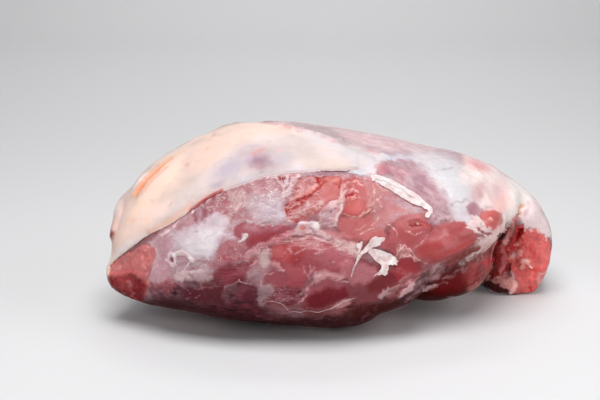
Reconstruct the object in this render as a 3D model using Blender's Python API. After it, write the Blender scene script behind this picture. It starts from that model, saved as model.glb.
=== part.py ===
"""A whole boneless beef rump, lying on its flat side with the fat cap up.

It is one piece of meat, so it is one closed solid. +X runs along the meat towards its thin
tail, -Y faces the seamed front, +Z is up, and the origin is on the surface that the meat
lies on, under the middle of its bounding box. All sizes below are in millimetres and are
turned into metres where the meshes are made.
"""

import math

import bmesh
import bpy
import numpy as np
from mathutils import Matrix, Vector, noise

MM = 0.001

# The body, as cross-sections from the blunt left end to the right end, under the tail:
# x, then the heights of the top, of the widest level, of the underside's front half and of
# its back half, then the y of the front and of the back, and how far the crown leans back.
SECTIONS = (
    (-172, 60, 50, 42, 42, -24, -6, 0),
    (-170, 76, 52, 37, 37, -34, 6, 1),
    (-166, 88, 51, 31, 31, -43, 18, 3),
    (-161, 95, 50, 26, 26, -51, 32, 5),
    (-154, 106, 48, 19, 19, -58, 45, 7),
    (-144, 114, 48, 16, 14, -65, 58, 9),
    (-132, 122, 50, 13, 10, -72, 67, 10),
    (-110, 133, 53, 9, 4, -81, 81, 10),
    (-87, 142, 55, 5, 0, -88, 90, 10),
    (-64, 148, 57, 2, -2, -93, 95, 9),
    (-28, 147, 58, -2, -3, -95, 98, 8),
    (18, 139, 59, -1, -3, -88, 98, 8),
    (42, 133, 64, 15, -1, -74, 97, 9),
    (65, 127, 72, 40, 2, -64, 95, 10),
    (88, 121, 77, 50, 6, -56, 93, 12),
    (105, 116, 79, 55, 10, -47, 88, 14),
    (119, 109, 79, 59, 16, -35, 82, 14),
    (128, 100, 80, 65, 28, -18, 74, 12),
    (133, 89, 80, 72, 50, -4, 60, 8),
)
TOP_SQUARENESS = 2.3
LOW_SQUARENESS = 2.1
REAR_BLEND = 0.7  # how far across a section its underside changes from front to back height
RINGS = 90
RING_POINTS = 72

# Muscles that swell out of the body: centre, half sizes, turn about the Y axis in degrees, and
# squareness, which is 2 for a plain ball.
MUSCLES = {
    "belly": ((-10, -56, 43), (77, 34, 29), -1, 2),
    "tip": ((-138, -30, 35), (44, 26, 20), 4, 2),
    "heel": ((77, 8, 41), (44, 50, 29), -9, 2.5),
    "core": ((126, 60, 42), (28, 30, 44), 0, 2),
    "left_back": ((-163, 8, 74), (12, 19, 19), 0, 2),
    "fat_lump": ((136, 34, 8), (14, 13, 10), 0, 2),
}
BALL_DIVISIONS = 5

# The tail: the end of the slab under the fat, bent down over the right end to the table.
# Each row is the middle of a section in x and z, its half thickness and its half width,
# then the y of its middle.
TAIL = (
    (92, 93, 18, 44, 34),
    (116, 91, 18, 45, 38),
    (132, 81, 18, 44, 42),
    (146, 72, 18, 42, 46),
    (156, 59, 18, 38, 52),
    (161, 42, 18, 36, 56),
    (161, 25, 17, 35, 58),
    (157, 10, 15, 34, 58),
    (154, 0, 12, 31, 58),
)
TAIL_SQUARENESS = 3.0
TAIL_RINGS = 45

# The fat cap: its cut lower edge on the front as x and z, its right edge across the top as
# x and y, and the height at which it ends on the back.
CAP_FRONT_EDGE = ((-180, 40), (-160, 62), (-137, 82), (-104, 104), (-89, 113), (-60, 123),
                  (-43, 126), (4, 124), (16, 124), (30, 116), (60, 112))
CAP_RIGHT_EDGE = ((40, -60), (32, -30), (20, -24), (8, -23), (-18, -6), (-35, 3), (-52, 7),
                  (-64, 21), (-74, 45), (-84, 75), (-90, 110))
CAP_BACK_EDGE = 58
CAP_BACK_WAVE = 7
CAP_BACK_WAVE_LENGTH = 90
CAP_THICKNESS = 4.5
CAP_EDGE_WIDTH = 3.5
CAP_SOFT_EDGE_WIDTH = 12
CAP_LEVEL = 0.9  # where the surface is this level, the front edge has been passed

# Grooves along the muscle seams of the front face: x and z of their corners, then the depth
# and the half width.
SEAMS = {
    "upper": (((-75, 66), (-50, 82), (-32, 88), (-14, 87), (8, 80), (31, 70), (47, 58)), 2.6, 5),
    "upright": (((-54, 76), (-56, 55), (-58, 31)), 2, 5),
    "under_tongue": (((20, 26), (40, 46), (73, 56), (97, 60), (114, 73)), 2, 5),
    "over_tongue": (((53, 64), (66, 78), (90, 88), (104, 90)), 2, 4),
    "tip": (((-135, 70), (-141, 49), (-149, 26)), 1.8, 4),
    "slit": (((-41, 104), (-29, 109), (-14, 116)), 3.4, 3.5),
    "fat_groove": (((-155, 103), (-143, 114), (-128, 125), (-115, 133)), 3, 4),
    "lower": (((-38, 30), (-17, 30), (11, 40)), 1.6, 4),
    "tail": (((152, 94), (146, 80), (140, 67), (132, 54)), 8, 5),
}
FRONT_FACING = (0.1, 0.4)  # how far forwards a surface turns to carry the front's relief

# The white tendon that lies on the front like a strap, as x and z, its height and half width.
TENDON = ((24, 120), (33, 115), (45, 109), (56, 103), (67, 97), (63, 91))
TENDON_HEIGHT = 2.4
TENDON_HALF_WIDTH = 4

# Muscle bellies that stand out of the front face: centre x and z, half sizes along and across,
# turn in degrees, height.
MOUNDS = {
    "middle": (-19, 68, 33, 18, 0, 4),
    "rolled": (-2, 107, 32, 15, 0, 3.5),
    "tongue": (79, 73, 29, 11, 16, 5.5),
    "oval": (115, 83, 8, 7, 0, 3.5),
    "left": (-105, 74, 32, 22, 10, 3),
    "lower_left": (-102, 42, 44, 13, -8, 2.5),
    "lower_middle": (-11, 44, 20, 9, 5, 2.5),
    "upper_right": (47, 113, 24, 12, -14, 3),
    "right": (42, 88, 17, 16, 0, 2.5),
    "top": (86, 106, 26, 13, -20, 3),
}

# The torn cut face at the front of the tail: crags of this size inside these limits.
CUT_FACE_LEFT = 134
CUT_FACE_TOP = 66
CUT_FACE_MARGIN = 6
CUT_FACE_FACING = (0.4, 0.8)
CRAG_DEPTH = 4.5
CRAG_SIZE = 9
CRAG_SEEDS = (5, 7)

# The gentle unevenness of the whole surface.
BUMP_HEIGHT = 1.5
BUMP_SIZE = 34
BUMP_SEED = 11

VOXEL = 2.2
SMOOTH_FACTOR = 0.5
SMOOTH_STEPS = 24
TRIANGLES = 11400
SINK = 1.5  # how deep the resting face is cut into the underside


def smoothstep(low, high, value):
    """0 below low, 1 above high, with a smooth rise between."""
    t = np.clip((value - low) / (high - low), 0, 1)
    return t * t * (3 - 2 * t)


def eased(values, positions, wanted):
    """Rows of values known at positions, read at the wanted places along smooth curves."""
    values = np.asarray(values, float)
    positions = np.asarray(positions, float)
    slopes = np.gradient(values, positions, axis=0)
    index = np.clip(np.searchsorted(positions, wanted) - 1, 0, len(positions) - 2)
    span = (positions[index + 1] - positions[index])[:, None]
    t = ((wanted - positions[index]) / span[:, 0])[:, None]
    start, end = values[index], values[index + 1]
    rise_in, rise_out = slopes[index] * span, slopes[index + 1] * span
    return (
        start * (2 * t**3 - 3 * t**2 + 1)
        + rise_in * (t**3 - 2 * t**2 + t)
        + end * (3 * t**2 - 2 * t**3)
        + rise_out * (t**3 - t**2)
    )


def rounded(angle, top_power, low_power):
    """A point of a rounded section across and up, from -1 to 1, squarer as its power grows."""
    across, up = math.cos(angle), math.sin(angle)
    power = top_power if up > 0 else low_power
    return (
        math.copysign(abs(across) ** (2 / power), across),
        math.copysign(abs(up) ** (2 / power), up),
    )


def loft(name, rings):
    """A closed mesh object through rings of points, all with the same count."""
    work = bmesh.new()
    loops = [[work.verts.new(Vector(p) * MM) for p in ring] for ring in rings]
    for here, there in zip(loops, loops[1:]):
        for i in range(len(here)):
            j = (i + 1) % len(here)
            work.faces.new((here[i], here[j], there[j], there[i]))
    work.faces.new(reversed(loops[0]))
    work.faces.new(loops[-1])
    bmesh.ops.recalc_face_normals(work, faces=work.faces)
    mesh = bpy.data.meshes.new(name)
    work.to_mesh(mesh)
    work.free()
    made = bpy.data.objects.new(name, mesh)
    bpy.context.scene.collection.objects.link(made)
    return made


def body():
    """The main mass, lofted through the sections."""
    sections = np.array(SECTIONS, float)
    share = 0.5 - 0.5 * np.cos(np.linspace(0, math.pi, RINGS))
    places = sections[0, 0] + share * (sections[-1, 0] - sections[0, 0])
    rings = []
    for x, (top, waist, under_front, under_back, front, back, lean) in zip(
        places, eased(sections[:, 1:], sections[:, 0], places)
    ):
        centre, half_depth = (front + back) / 2, (back - front) / 2
        ring = []
        for k in range(RING_POINTS):
            angle = 2 * math.pi * k / RING_POINTS
            across, up = rounded(angle, TOP_SQUARENESS, LOW_SQUARENESS)
            rear = smoothstep(-REAR_BLEND, REAR_BLEND, across)
            under = under_front + (under_back - under_front) * rear
            reach = top - waist if up > 0 else waist - under
            ring.append((x, centre + half_depth * across + lean * up, waist + reach * up))
        rings.append(ring)
    return loft("body", rings)


def muscle(name, centre, half_sizes, turn, squareness):
    """One swelling: a squashed and squared ball, turned about the Y axis."""
    mesh = bpy.data.meshes.new(name)
    work = bmesh.new()
    bmesh.ops.create_icosphere(work, subdivisions=BALL_DIVISIONS, radius=1)
    for vertex in work.verts:
        vertex.co /= sum(abs(side) ** squareness for side in vertex.co) ** (1 / squareness)
    place = (
        Matrix.Translation(Vector(centre) * MM)
        @ Matrix.Rotation(math.radians(turn), 4, "Y")
        @ Matrix.Diagonal([*(Vector(half_sizes) * MM), 1])
    )
    bmesh.ops.transform(work, matrix=place, verts=work.verts)
    work.to_mesh(mesh)
    work.free()
    made = bpy.data.objects.new(name, mesh)
    bpy.context.scene.collection.objects.link(made)
    return made


def tail():
    """The folded tail, lofted along its bent middle line."""
    rows = np.array(TAIL, float)
    steps = np.linspace(0, len(rows) - 1, TAIL_RINGS)
    known = np.arange(len(rows))
    path = eased(rows, known, steps)
    along = np.gradient(path[:, [0, 1]], axis=0)
    along /= np.linalg.norm(along, axis=1)[:, None]
    rings = []
    for (x, z, thick, wide, y), (dx, dz) in zip(path, along):
        ring = []
        for k in range(RING_POINTS):
            angle = 2 * math.pi * k / RING_POINTS
            across, out = rounded(angle, TAIL_SQUARENESS, TAIL_SQUARENESS)
            ring.append((x - dz * thick * out, y + wide * across, z + dx * thick * out))
        rings.append(ring)
    return loft("tail", rings)


def fused(pieces):
    """One mesh object from overlapping closed pieces, through a voxel remesh."""
    joined = bmesh.new()
    for piece in pieces:
        joined.from_mesh(piece.data)
        bpy.data.objects.remove(piece)
    mesh = bpy.data.meshes.new("beef_rump")
    joined.to_mesh(mesh)
    joined.free()
    made = bpy.data.objects.new("beef_rump", mesh)
    bpy.context.scene.collection.objects.link(made)
    remesh = made.modifiers.new("fuse", "REMESH")
    remesh.mode = "VOXEL"
    remesh.voxel_size = VOXEL * MM
    smooth = made.modifiers.new("soften", "SMOOTH")
    smooth.factor = SMOOTH_FACTOR
    smooth.iterations = SMOOTH_STEPS
    keep_modified(made)
    return made


def keep_modified(made):
    """Applies the object's modifiers."""
    graph = bpy.context.evaluated_depsgraph_get()
    mesh = bpy.data.meshes.new_from_object(made.evaluated_get(graph))
    made.modifiers.clear()
    made.data = mesh


def distance_to_line(points, line):
    """The distance of flat points from a bent line through the given corners."""
    nearest = np.full(len(points), 1e9)
    for a, b in zip(np.array(line[:-1], float), np.array(line[1:], float)):
        t = np.clip((points - a) @ (b - a) / ((b - a) @ (b - a)), 0, 1)
        nearest = np.minimum(nearest, np.linalg.norm(points - a - t[:, None] * (b - a), axis=1))
    return nearest


def facing_front(normal):
    """1 where the surface faces the front, 0 where it faces up, down or back."""
    return smoothstep(*FRONT_FACING, -normal[:, 1])


def beyond(points, line):
    """The signed distance of flat points from a bent line, positive on its left."""
    line = np.array(line, float)
    nearest = distance_to_line(points, line)
    signed = np.full(len(points), 1e9)
    for a, b in zip(line[:-1], line[1:]):
        t = np.clip((points - a) @ (b - a) / ((b - a) @ (b - a)), 0, 1)
        offset = points - a - t[:, None] * (b - a)
        away = np.linalg.norm(offset, axis=1)
        side = (b - a)[0] * (points - a)[:, 1] - (b - a)[1] * (points - a)[:, 0]
        closest = away <= nearest + 1e-6
        signed = np.where(closest, np.copysign(away, side), signed)
    return signed


def cap_cover(co, normal):
    """1 on the fat cap, 0 off it, with a steep edge between."""
    x, y, z = co.T
    front_edge = np.interp(x, *np.array(CAP_FRONT_EDGE, float).T)
    back_edge = CAP_BACK_EDGE + CAP_BACK_WAVE * np.sin(2 * math.pi * x / CAP_BACK_WAVE_LENGTH)
    above = np.where(y < 0, z - front_edge, z - back_edge)
    above = np.where((y < 0) & (normal[:, 2] > CAP_LEVEL), CAP_EDGE_WIDTH, above)
    left = beyond(co[:, :2], CAP_RIGHT_EDGE)
    width = np.where(y < 0, CAP_EDGE_WIDTH, CAP_SOFT_EDGE_WIDTH)
    return smoothstep(0, width, above) * smoothstep(0, CAP_SOFT_EDGE_WIDTH, left)


def seam_depth(co, normal):
    """How deep the seams cut at each point."""
    depth = np.zeros(len(co))
    for line, deep, half_width in SEAMS.values():
        away = distance_to_line(co[:, [0, 2]], line)
        depth += deep * np.exp(-((away / half_width) ** 2))
    return depth * facing_front(normal)


def tendon_height(co, normal):
    """How far the tendon strap stands out."""
    away = distance_to_line(co[:, [0, 2]], TENDON)
    strap = 1 - smoothstep(TENDON_HALF_WIDTH / 2, TENDON_HALF_WIDTH * 1.5, away)
    return TENDON_HEIGHT * strap * facing_front(normal)


def mound_height(co, normal):
    """How far the muscle bellies stand out."""
    height = np.zeros(len(co))
    for x, z, along, across, turn, tall in MOUNDS.values():
        cos, sin = math.cos(math.radians(turn)), math.sin(math.radians(turn))
        dx, dz = co[:, 0] - x, co[:, 2] - z
        reach = ((dx * cos + dz * sin) / along) ** 2 + ((dz * cos - dx * sin) / across) ** 2
        height += tall * np.clip(1 - reach**1.5, 0, 1)
    return height * facing_front(normal)


def rough(co, size, seed):
    """A smooth random value from -1 to 1 at each point, with lumps of the given size."""
    shift = Vector((seed, 2 * seed, 3 * seed))
    return np.array([noise.noise(Vector(p) / size + shift) for p in co])


def crag_height(co, normal):
    """The torn lumps of the tail's cut face."""
    x, _, z = co.T
    inside = smoothstep(CUT_FACE_LEFT, CUT_FACE_LEFT + CUT_FACE_MARGIN, x)
    inside *= 1 - smoothstep(CUT_FACE_TOP - CUT_FACE_MARGIN, CUT_FACE_TOP, z)
    inside *= smoothstep(*CUT_FACE_FACING, -normal[:, 1])
    coarse, fine = CRAG_SEEDS
    lumps = rough(co, CRAG_SIZE, coarse) + rough(co, CRAG_SIZE / 2, fine) / 2
    return CRAG_DEPTH * lumps * inside


def relief(co, normal):
    """How far each point moves along its normal."""
    move = CAP_THICKNESS * cap_cover(co, normal)
    move += mound_height(co, normal) + tendon_height(co, normal) - seam_depth(co, normal)
    move += crag_height(co, normal)
    return move + BUMP_HEIGHT * rough(co, BUMP_SIZE, BUMP_SEED)


def carve(made):
    """Moves the surface by its relief, then presses the underside flat on the table."""
    mesh = made.data
    count = len(mesh.vertices)
    co = np.empty(count * 3)
    normal = np.empty(count * 3)
    mesh.vertices.foreach_get("co", co)
    mesh.vertices.foreach_get("normal", normal)
    co = co.reshape(-1, 3) / MM
    normal = normal.reshape(-1, 3)
    co += normal * relief(co, normal)[:, None]
    co[:, 2] -= SINK
    mesh.vertices.foreach_set("co", (co * MM).ravel())
    mesh.update()


def thin_out(made):
    """Fewer, larger triangles where the surface is plain, and a flat resting face."""
    made.data.update()
    thin = made.modifiers.new("thin_out", "DECIMATE")
    thin.ratio = TRIANGLES / (2 * len(made.data.polygons))
    thin.use_collapse_triangulate = True
    keep_modified(made)
    for vertex in made.data.vertices:
        vertex.co.z = max(vertex.co.z, 0)


def centre_on_origin(made):
    """Moves the mesh so that the origin is under the middle of its box."""
    corners = [Vector(c) for c in made.bound_box]
    low = Vector(map(min, *corners))
    high = Vector(map(max, *corners))
    made.data.transform(Matrix.Translation((-(low.x + high.x) / 2, -(low.y + high.y) / 2, 0)))


def raw_beef():
    """Plain wet red meat."""
    material = bpy.data.materials.new("raw_beef")
    material.use_nodes = True
    shader = material.node_tree.nodes["Principled BSDF"]
    shader.inputs["Base Color"].default_value = (0.48, 0.16, 0.15, 1)
    shader.inputs["Roughness"].default_value = 0.42
    shader.inputs["Metallic"].default_value = 0
    return material


def main():
    for old in list(bpy.data.objects):
        bpy.data.objects.remove(old)
    pieces = [body(), tail()]
    pieces += [muscle(name, *row) for name, row in MUSCLES.items()]
    rump = fused(pieces)
    carve(rump)
    thin_out(rump)
    centre_on_origin(rump)
    rump.data.materials.append(raw_beef())
    rump.data.shade_smooth()


main()
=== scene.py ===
"""The looks of a whole boneless beef rump: raw muscle under fat, silver skin and torn fascia."""

import math

import bmesh
import bpy
import numpy as np
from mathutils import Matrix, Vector, noise
from mathutils.bvhtree import BVHTree
from mathutils.geometry import delaunay_2d_cdt


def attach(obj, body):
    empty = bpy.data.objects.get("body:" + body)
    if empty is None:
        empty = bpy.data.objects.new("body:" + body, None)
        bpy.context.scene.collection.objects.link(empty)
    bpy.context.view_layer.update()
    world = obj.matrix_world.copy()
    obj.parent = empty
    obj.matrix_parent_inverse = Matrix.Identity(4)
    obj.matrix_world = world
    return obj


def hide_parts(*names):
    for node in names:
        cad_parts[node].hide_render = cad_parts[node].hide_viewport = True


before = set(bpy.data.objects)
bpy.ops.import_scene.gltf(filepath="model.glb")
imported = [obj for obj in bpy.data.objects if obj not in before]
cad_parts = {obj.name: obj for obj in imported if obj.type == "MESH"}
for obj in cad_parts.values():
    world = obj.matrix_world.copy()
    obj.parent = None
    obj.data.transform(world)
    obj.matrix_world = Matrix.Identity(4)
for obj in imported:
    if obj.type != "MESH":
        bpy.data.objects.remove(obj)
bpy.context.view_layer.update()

# The view
# The meat is seen from its seamed front, 15 degrees above the table. Marks on the front are
# placed by pixels of this view, 600 wide and 400 high, so the camera comes first.
VIEW_WIDTH = 600
VIEW_HEIGHT = 400
LENS = 70
SENSOR = 36
ELEVATION = math.radians(15)
DISTANCE = 0.918
AIM = Vector((-0.0294, 0, 0.0886))
PIXEL = 0.79

sight = Vector((0, math.cos(ELEVATION), -math.sin(ELEVATION)))
view_up = Vector((0, math.sin(ELEVATION), math.cos(ELEVATION)))
eye = AIM - sight * DISTANCE
focal = LENS / SENSOR * VIEW_WIDTH

camera = bpy.data.objects.new("camera", bpy.data.cameras.new("camera"))
camera.data.lens = LENS
camera.data.sensor_width = SENSOR
camera.location = eye
camera.rotation_euler = sight.to_track_quat("-Z", "Y").to_euler()
bpy.context.scene.collection.objects.link(camera)
bpy.context.scene.camera = camera


def in_view(points):
    """The pixels at which points in metres are seen."""
    away = points - np.array(eye)
    depth = away @ np.array(sight)
    u = VIEW_WIDTH / 2 + focal * away[:, 0] / depth
    v = VIEW_HEIGHT / 2 - focal * (away @ np.array(view_up)) / depth
    return u, v


# The rump's skin
# One closed skin over the whole cut of meat, finer at the front and finest over the muscles
# there. It starts from the solid's own form, remeshed and smoothed.
MM = 0.001
SKIN_VOXEL = 3.7
SKIN_SMOOTHING = 4
FINE_SMOOTHING = 3
FINEST_SMOOTHING = 2
FINE_FACING = 0.22
FINEST_FACING = 0.02
FINE_ZONE = ((104, 284), (107, 264), (128, 246), (152, 230), (180, 213), (203, 194), (232, 183),
    (262, 172), (300, 169), (345, 165), (372, 170), (392, 174), (414, 184), (440, 203), (470, 200),
    (500, 206), (514, 212), (530, 222), (558, 230), (558, 290), (540, 304), (500, 304), (420, 314),
    (360, 338), (200, 324), (134, 310))

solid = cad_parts["beef_rump"]


def smoothstep(low, high, value):
    """0 below low, 1 above high, with a smooth rise between."""
    t = np.clip((value - low) / (high - low), 0, 1)
    return t * t * (3 - 2 * t)


def line_distance(line, u, v):
    """The distance of points from a bent line."""
    nearest = np.full(len(u), 1e9)
    for (ax, ay), (bx, by) in zip(line[:-1], line[1:]):
        length = (bx - ax) ** 2 + (by - ay) ** 2 + 1e-9
        t = np.clip(((u - ax) * (bx - ax) + (v - ay) * (by - ay)) / length, 0, 1)
        nearest = np.minimum(nearest, np.hypot(u - ax - t * (bx - ax), v - ay - t * (by - ay)))
    return nearest


def depth_inside(ring, u, v):
    """The distance of points from an outline, positive inside it."""
    closed = list(ring) + [ring[0]]
    inside = np.zeros(len(u), bool)
    for (ax, ay), (bx, by) in zip(closed[:-1], closed[1:]):
        if ay != by:
            crosses = (ay > v) != (by > v)
            inside ^= crosses & (u < ax + (v - ay) * (bx - ax) / (by - ay))
    return line_distance(closed, u, v) * np.where(inside, 1, -1)


def vertex_values(mesh, name):
    """The coordinates or normals of a mesh's vertices as rows."""
    values = np.empty(len(mesh.vertices) * 3, np.float32)
    mesh.vertices.foreach_get(name, values)
    return values.reshape(-1, 3).astype(float)


def relax(mesh, steps):
    """Moves each vertex halfway to the middle of its neighbours, a number of times."""
    ends = np.empty(len(mesh.edges) * 2, np.int32)
    mesh.edges.foreach_get("vertices", ends)
    a, b = ends.reshape(-1, 2).T
    co = vertex_values(mesh, "co")
    count = np.bincount(a, minlength=len(co)) + np.bincount(b, minlength=len(co))
    for _ in range(steps):
        middle = np.empty_like(co)
        for axis in range(3):
            middle[:, axis] = np.bincount(a, co[b, axis], len(co))
            middle[:, axis] += np.bincount(b, co[a, axis], len(co))
        co = (co + middle / count[:, None]) / 2
    mesh.vertices.foreach_set("co", co.astype(np.float32).ravel())
    mesh.update()


def split_faces(mesh, chosen):
    """Splits the faces picked by their centres and normals into four."""
    work = bmesh.new()
    work.from_mesh(mesh)
    centres = np.array([face.calc_center_median() for face in work.faces])
    normals = np.array([face.normal for face in work.faces])
    edges = {edge for face, pick in zip(work.faces, chosen(centres, normals)) if pick for edge in face.edges}
    bmesh.ops.subdivide_edges(work, edges=list(edges), cuts=1, use_grid_fill=True)
    bmesh.ops.triangulate(work, faces=[face for face in work.faces if len(face.verts) > 4])
    work.to_mesh(mesh)
    work.free()


def facing_eye(centres, normals, least):
    """Which faces look at the eye by at least a share."""
    return ((np.array(eye) - centres) * normals).sum(1) > least * DISTANCE


def in_fine_zone(centres, normals):
    """Which faces lie among the bare muscles of the front, where the skin is finest."""
    return facing_eye(centres, normals, FINEST_FACING) & (depth_inside(FINE_ZONE, *in_view(centres)) > 0)


rump = bpy.data.objects.new("rump_meat", solid.data.copy())
bpy.context.scene.collection.objects.link(rump)
rump.data.materials.clear()
remesh = rump.modifiers.new("remesh", "REMESH")
remesh.mode = "VOXEL"
remesh.voxel_size = SKIN_VOXEL * MM
remeshed = bpy.data.meshes.new_from_object(rump.evaluated_get(bpy.context.evaluated_depsgraph_get()))
rump.modifiers.clear()
rump.data = remeshed
relax(rump.data, SKIN_SMOOTHING)
split_faces(rump.data, lambda c, n: facing_eye(c, n, FINE_FACING) | in_fine_zone(c, n))
relax(rump.data, FINE_SMOOTHING)
split_faces(rump.data, in_fine_zone)
relax(rump.data, FINEST_SMOOTHING)

place = vertex_values(rump.data, "co")
facing = vertex_values(rump.data, "normal")
x, y, z = (place / MM).T
across, down = in_view(place)
count = len(place)
NOISE_REACH = 1.6
CLEAR_OF_SKIN = 2
GRAZING = 0.14


def skin_tree():
    """The skin as it stands, to be hit by rays."""
    return BVHTree.FromPolygons([Vector(p) for p in place], [tuple(f.vertices) for f in rump.data.polygons])


meat_tree = skin_tree()


def lumps(size, seed, stretch=(1, 1, 1)):
    """A smooth random value from about -1 to 1 at each vertex, in lumps of a size in mm."""
    shift = Vector((seed, 2.3 * seed, 3.7 * seed))
    rows = place / MM / size / np.array(stretch)
    return NOISE_REACH * np.array([noise.noise(Vector(row) + shift) for row in rows])


def seen_share():
    """1 where the skin shows in the view, 0 where it is turned away or hidden."""
    towards = np.array(eye) - place
    towards /= np.linalg.norm(towards, axis=1)[:, None]
    slant = (towards * facing).sum(1)
    open_sight = np.zeros(count)
    for i in np.where(slant > 0)[0]:
        start = Vector(place[i]) + Vector(facing[i]) * CLEAR_OF_SKIN * MM
        open_sight[i] = meat_tree.ray_cast(start, Vector(towards[i]))[0] is None
    return smoothstep(0, GRAZING, slant) * open_sight, slant


seen, slant = seen_share()

# Edges in flesh are never clean, so the places that masks are measured at are shaken a little.
RAGGED = ((1.4, 6), (0.9, 2.2), (0.5, 1.1))


def ragged(pixels, seeds):
    """View pixels shaken by coarse, fine and finest lumps."""
    for (reach, size), seed in zip(RAGGED, seeds):
        pixels = pixels + reach * lumps(size, seed)
    return pixels


ragged_across = ragged(across, (1, 2, 9))
ragged_down = ragged(down, (3, 4, 10))


def mask_near(line, reach, clean, worth):
    """A mask from what a vertex is worth at its view pixel, 0 far from the line or out of sight."""
    u, v = (across, down) if clean else (ragged_across, ragged_down)
    corners = np.array(line, float)
    low, high = corners.min(0) - reach, corners.max(0) + reach
    near = np.where((u > low[0]) & (u < high[0]) & (v > low[1]) & (v < high[1]) & (seen > 0))[0]
    mask = np.zeros(count)
    mask[near] = worth(u[near], v[near]) * seen[near]
    return mask


def area(outline, soft=2.5, clean=False):
    """1 inside an outline in view pixels, falling to 0 across a soft edge."""
    return mask_near(outline, soft, clean,
                     lambda u, v: smoothstep(-soft / 2, soft / 2, depth_inside(outline, u, v)))


def stroke(line, width, soft=1.5, clean=False):
    """1 on a bent line of a width in view pixels, fading at its sides and at its two ends."""
    inner, outer = max(width - soft, 0) / 2, (width + soft) / 2
    return mask_near(line, width / 2 + soft, clean,
                     lambda u, v: 1 - smoothstep(inner, outer, line_distance(line, u, v)))


def moved(line, right, low):
    """A line moved by view pixels to the right and down."""
    return [(u + right, v + low) for u, v in line]


def spot(middle, half_wide, half_high, turned=0, soft=0.5):
    """1 in an oval around a view pixel, fading outwards."""
    cos, sin = math.cos(math.radians(turned)), math.sin(math.radians(turned))
    right, low = ragged_across - middle[0], ragged_down - middle[1]
    reach = np.hypot((right * cos + low * sin) / half_wide, (low * cos - right * sin) / half_high)
    return (1 - smoothstep(1 - soft, 1 + soft, reach)) * seen


def tone(red, green, blue):
    """A screen colour from 0 to 255 as the linear colour that a shader takes."""
    screen = np.array((red, green, blue)) / 255
    return np.where(screen > 0.04045, ((screen + 0.055) / 1.055) ** 2.4, screen / 12.92)


# The bare muscle
# Lean is a wet wine red, brighter where it was freshly cut. It is the lowest of three layers:
# over it lies thin skin with its own colour and share, and over both the fat cap.
LEAN = tone(146, 76, 77)
LEAN_BRIGHT = tone(150, 128, 138)
LEAN_DEEP = tone(23, 4, 5)
THIN_SKIN = tone(170, 109, 112)
FALLING = -1
RISING = 1

flesh = np.tile(LEAN, (count, 1))
fibres = np.full(count, 0.5)
skin = np.tile(THIN_SKIN, (count, 1))
cover = np.full(count, 0.12)
webs = np.full(count, 0.25)
turn = np.zeros(count)
lift = np.zeros(count)


def stain(mask, shade, fibrous=None, raised=0):
    """Colours the bare flesh where the mask is."""
    flesh[:] += mask[:, None] * (shade - flesh)
    if fibrous is not None:
        fibres[:] += mask * (fibrous - fibres)
    lift[:] += raised * mask


def veil(mask, shade, share=0.8, webbed=None, raised=0):
    """Lays thin skin or fascia over the flesh: its colour and how much of the flesh it hides."""
    skin[:] += mask[:, None] * (shade - skin)
    cover[:] += mask * (share - cover)
    if webbed is not None:
        webs[:] += mask * (webbed - webs)
    lift[:] += raised * mask


def bare(mask, shade, fibrous=None, raised=0):
    """Opens a window in the thin skin on to flesh of a colour."""
    stain(mask, shade, fibrous, raised)
    cover[:] -= mask * cover
    webs[:] -= 0.85 * mask * webs


def strands_along(lines, shade, share, raised, soft, width=None, strength=1):
    """Lays a strand along each line, of one width or of the width that comes with each line."""
    for line, wide in [(line, width) for line in lines] if width else lines:
        veil(stroke(line, wide, soft) * strength, shade, share, raised=raised)


def comb(mask, way):
    """Turns the grain: falling to the right, level or rising to the right."""
    turn[:] += mask * (way - turn)


stain(smoothstep(-0.3, 0.6, lumps(34, 5)) * 0.5, LEAN_DEEP)
stain(smoothstep(0.1, 0.7, lumps(22, 6)) * 0.4, LEAN_BRIGHT)
lift += 0.25 * lumps(9, 7) + 0.5 * lumps(24, 8)

# The hidden sides
# Behind and below, the same tissues go on: a long muscle under silver skin, white seams of
# fascia between the muscles, bare windows, and pinkish skin with fat where the surface turns up.
FASCIA = tone(216, 188, 186)
TOP_SKIN = tone(216, 172, 177)
hidden = 1 - seen
turned_up = smoothstep(0.3, 0.75, facing[:, 2])
behind = smoothstep(-0.1, 0.3, facing[:, 1]) * hidden
BACK_SEAMS = (((160, 52), (120, 64), (70, 60), (20, 72), (-40, 66), (-100, 78)),
    ((120, 22), (70, 34), (10, 30), (-60, 36), (-130, 26)), ((70, 60), (50, 46), (40, 33)),
    ((-40, 66), (-52, 50), (-60, 36)))
wavy_x = x + 5 * lumps(22, 71)
wavy_z = z + 3 * lumps(18, 72)
wide_patches = lumps(40, 11, (1.5, 1, 0.8)) + 0.45 * lumps(14, 12)
thin_patches = lumps(26, 13, (1.8, 1, 0.7)) + 0.5 * lumps(9, 14, (2, 1, 1))
veil(hidden * smoothstep(-0.25, 0.25, wide_patches), THIN_SKIN, 0.55)
veil(hidden * smoothstep(0.2, 0.6, thin_patches), FASCIA, 0.85, 0.8, 0.3)
bare(hidden * smoothstep(0.45, 0.75, -wide_patches) * 0.8, LEAN_BRIGHT)
for seam in BACK_SEAMS:
    away = line_distance(seam, wavy_x, wavy_z)
    veil(behind * (1 - smoothstep(2, 9, away)), FASCIA, 0.9, 0.9, -0.9)
# Faces that turn down are painted darker: painted shade.
stain(hidden * smoothstep(0.2, 0.8, -facing[:, 2]) * 0.6, LEAN_DEEP)
OVER_TOP = (-70, -40)
over_top = turned_up * smoothstep(*OVER_TOP, x)
veil(over_top, TOP_SKIN, 0.85, 0.5)
veil(over_top * smoothstep(0.0, 0.6, lumps(20, 73)), tone(216, 198, 199), 0.9)
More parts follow.
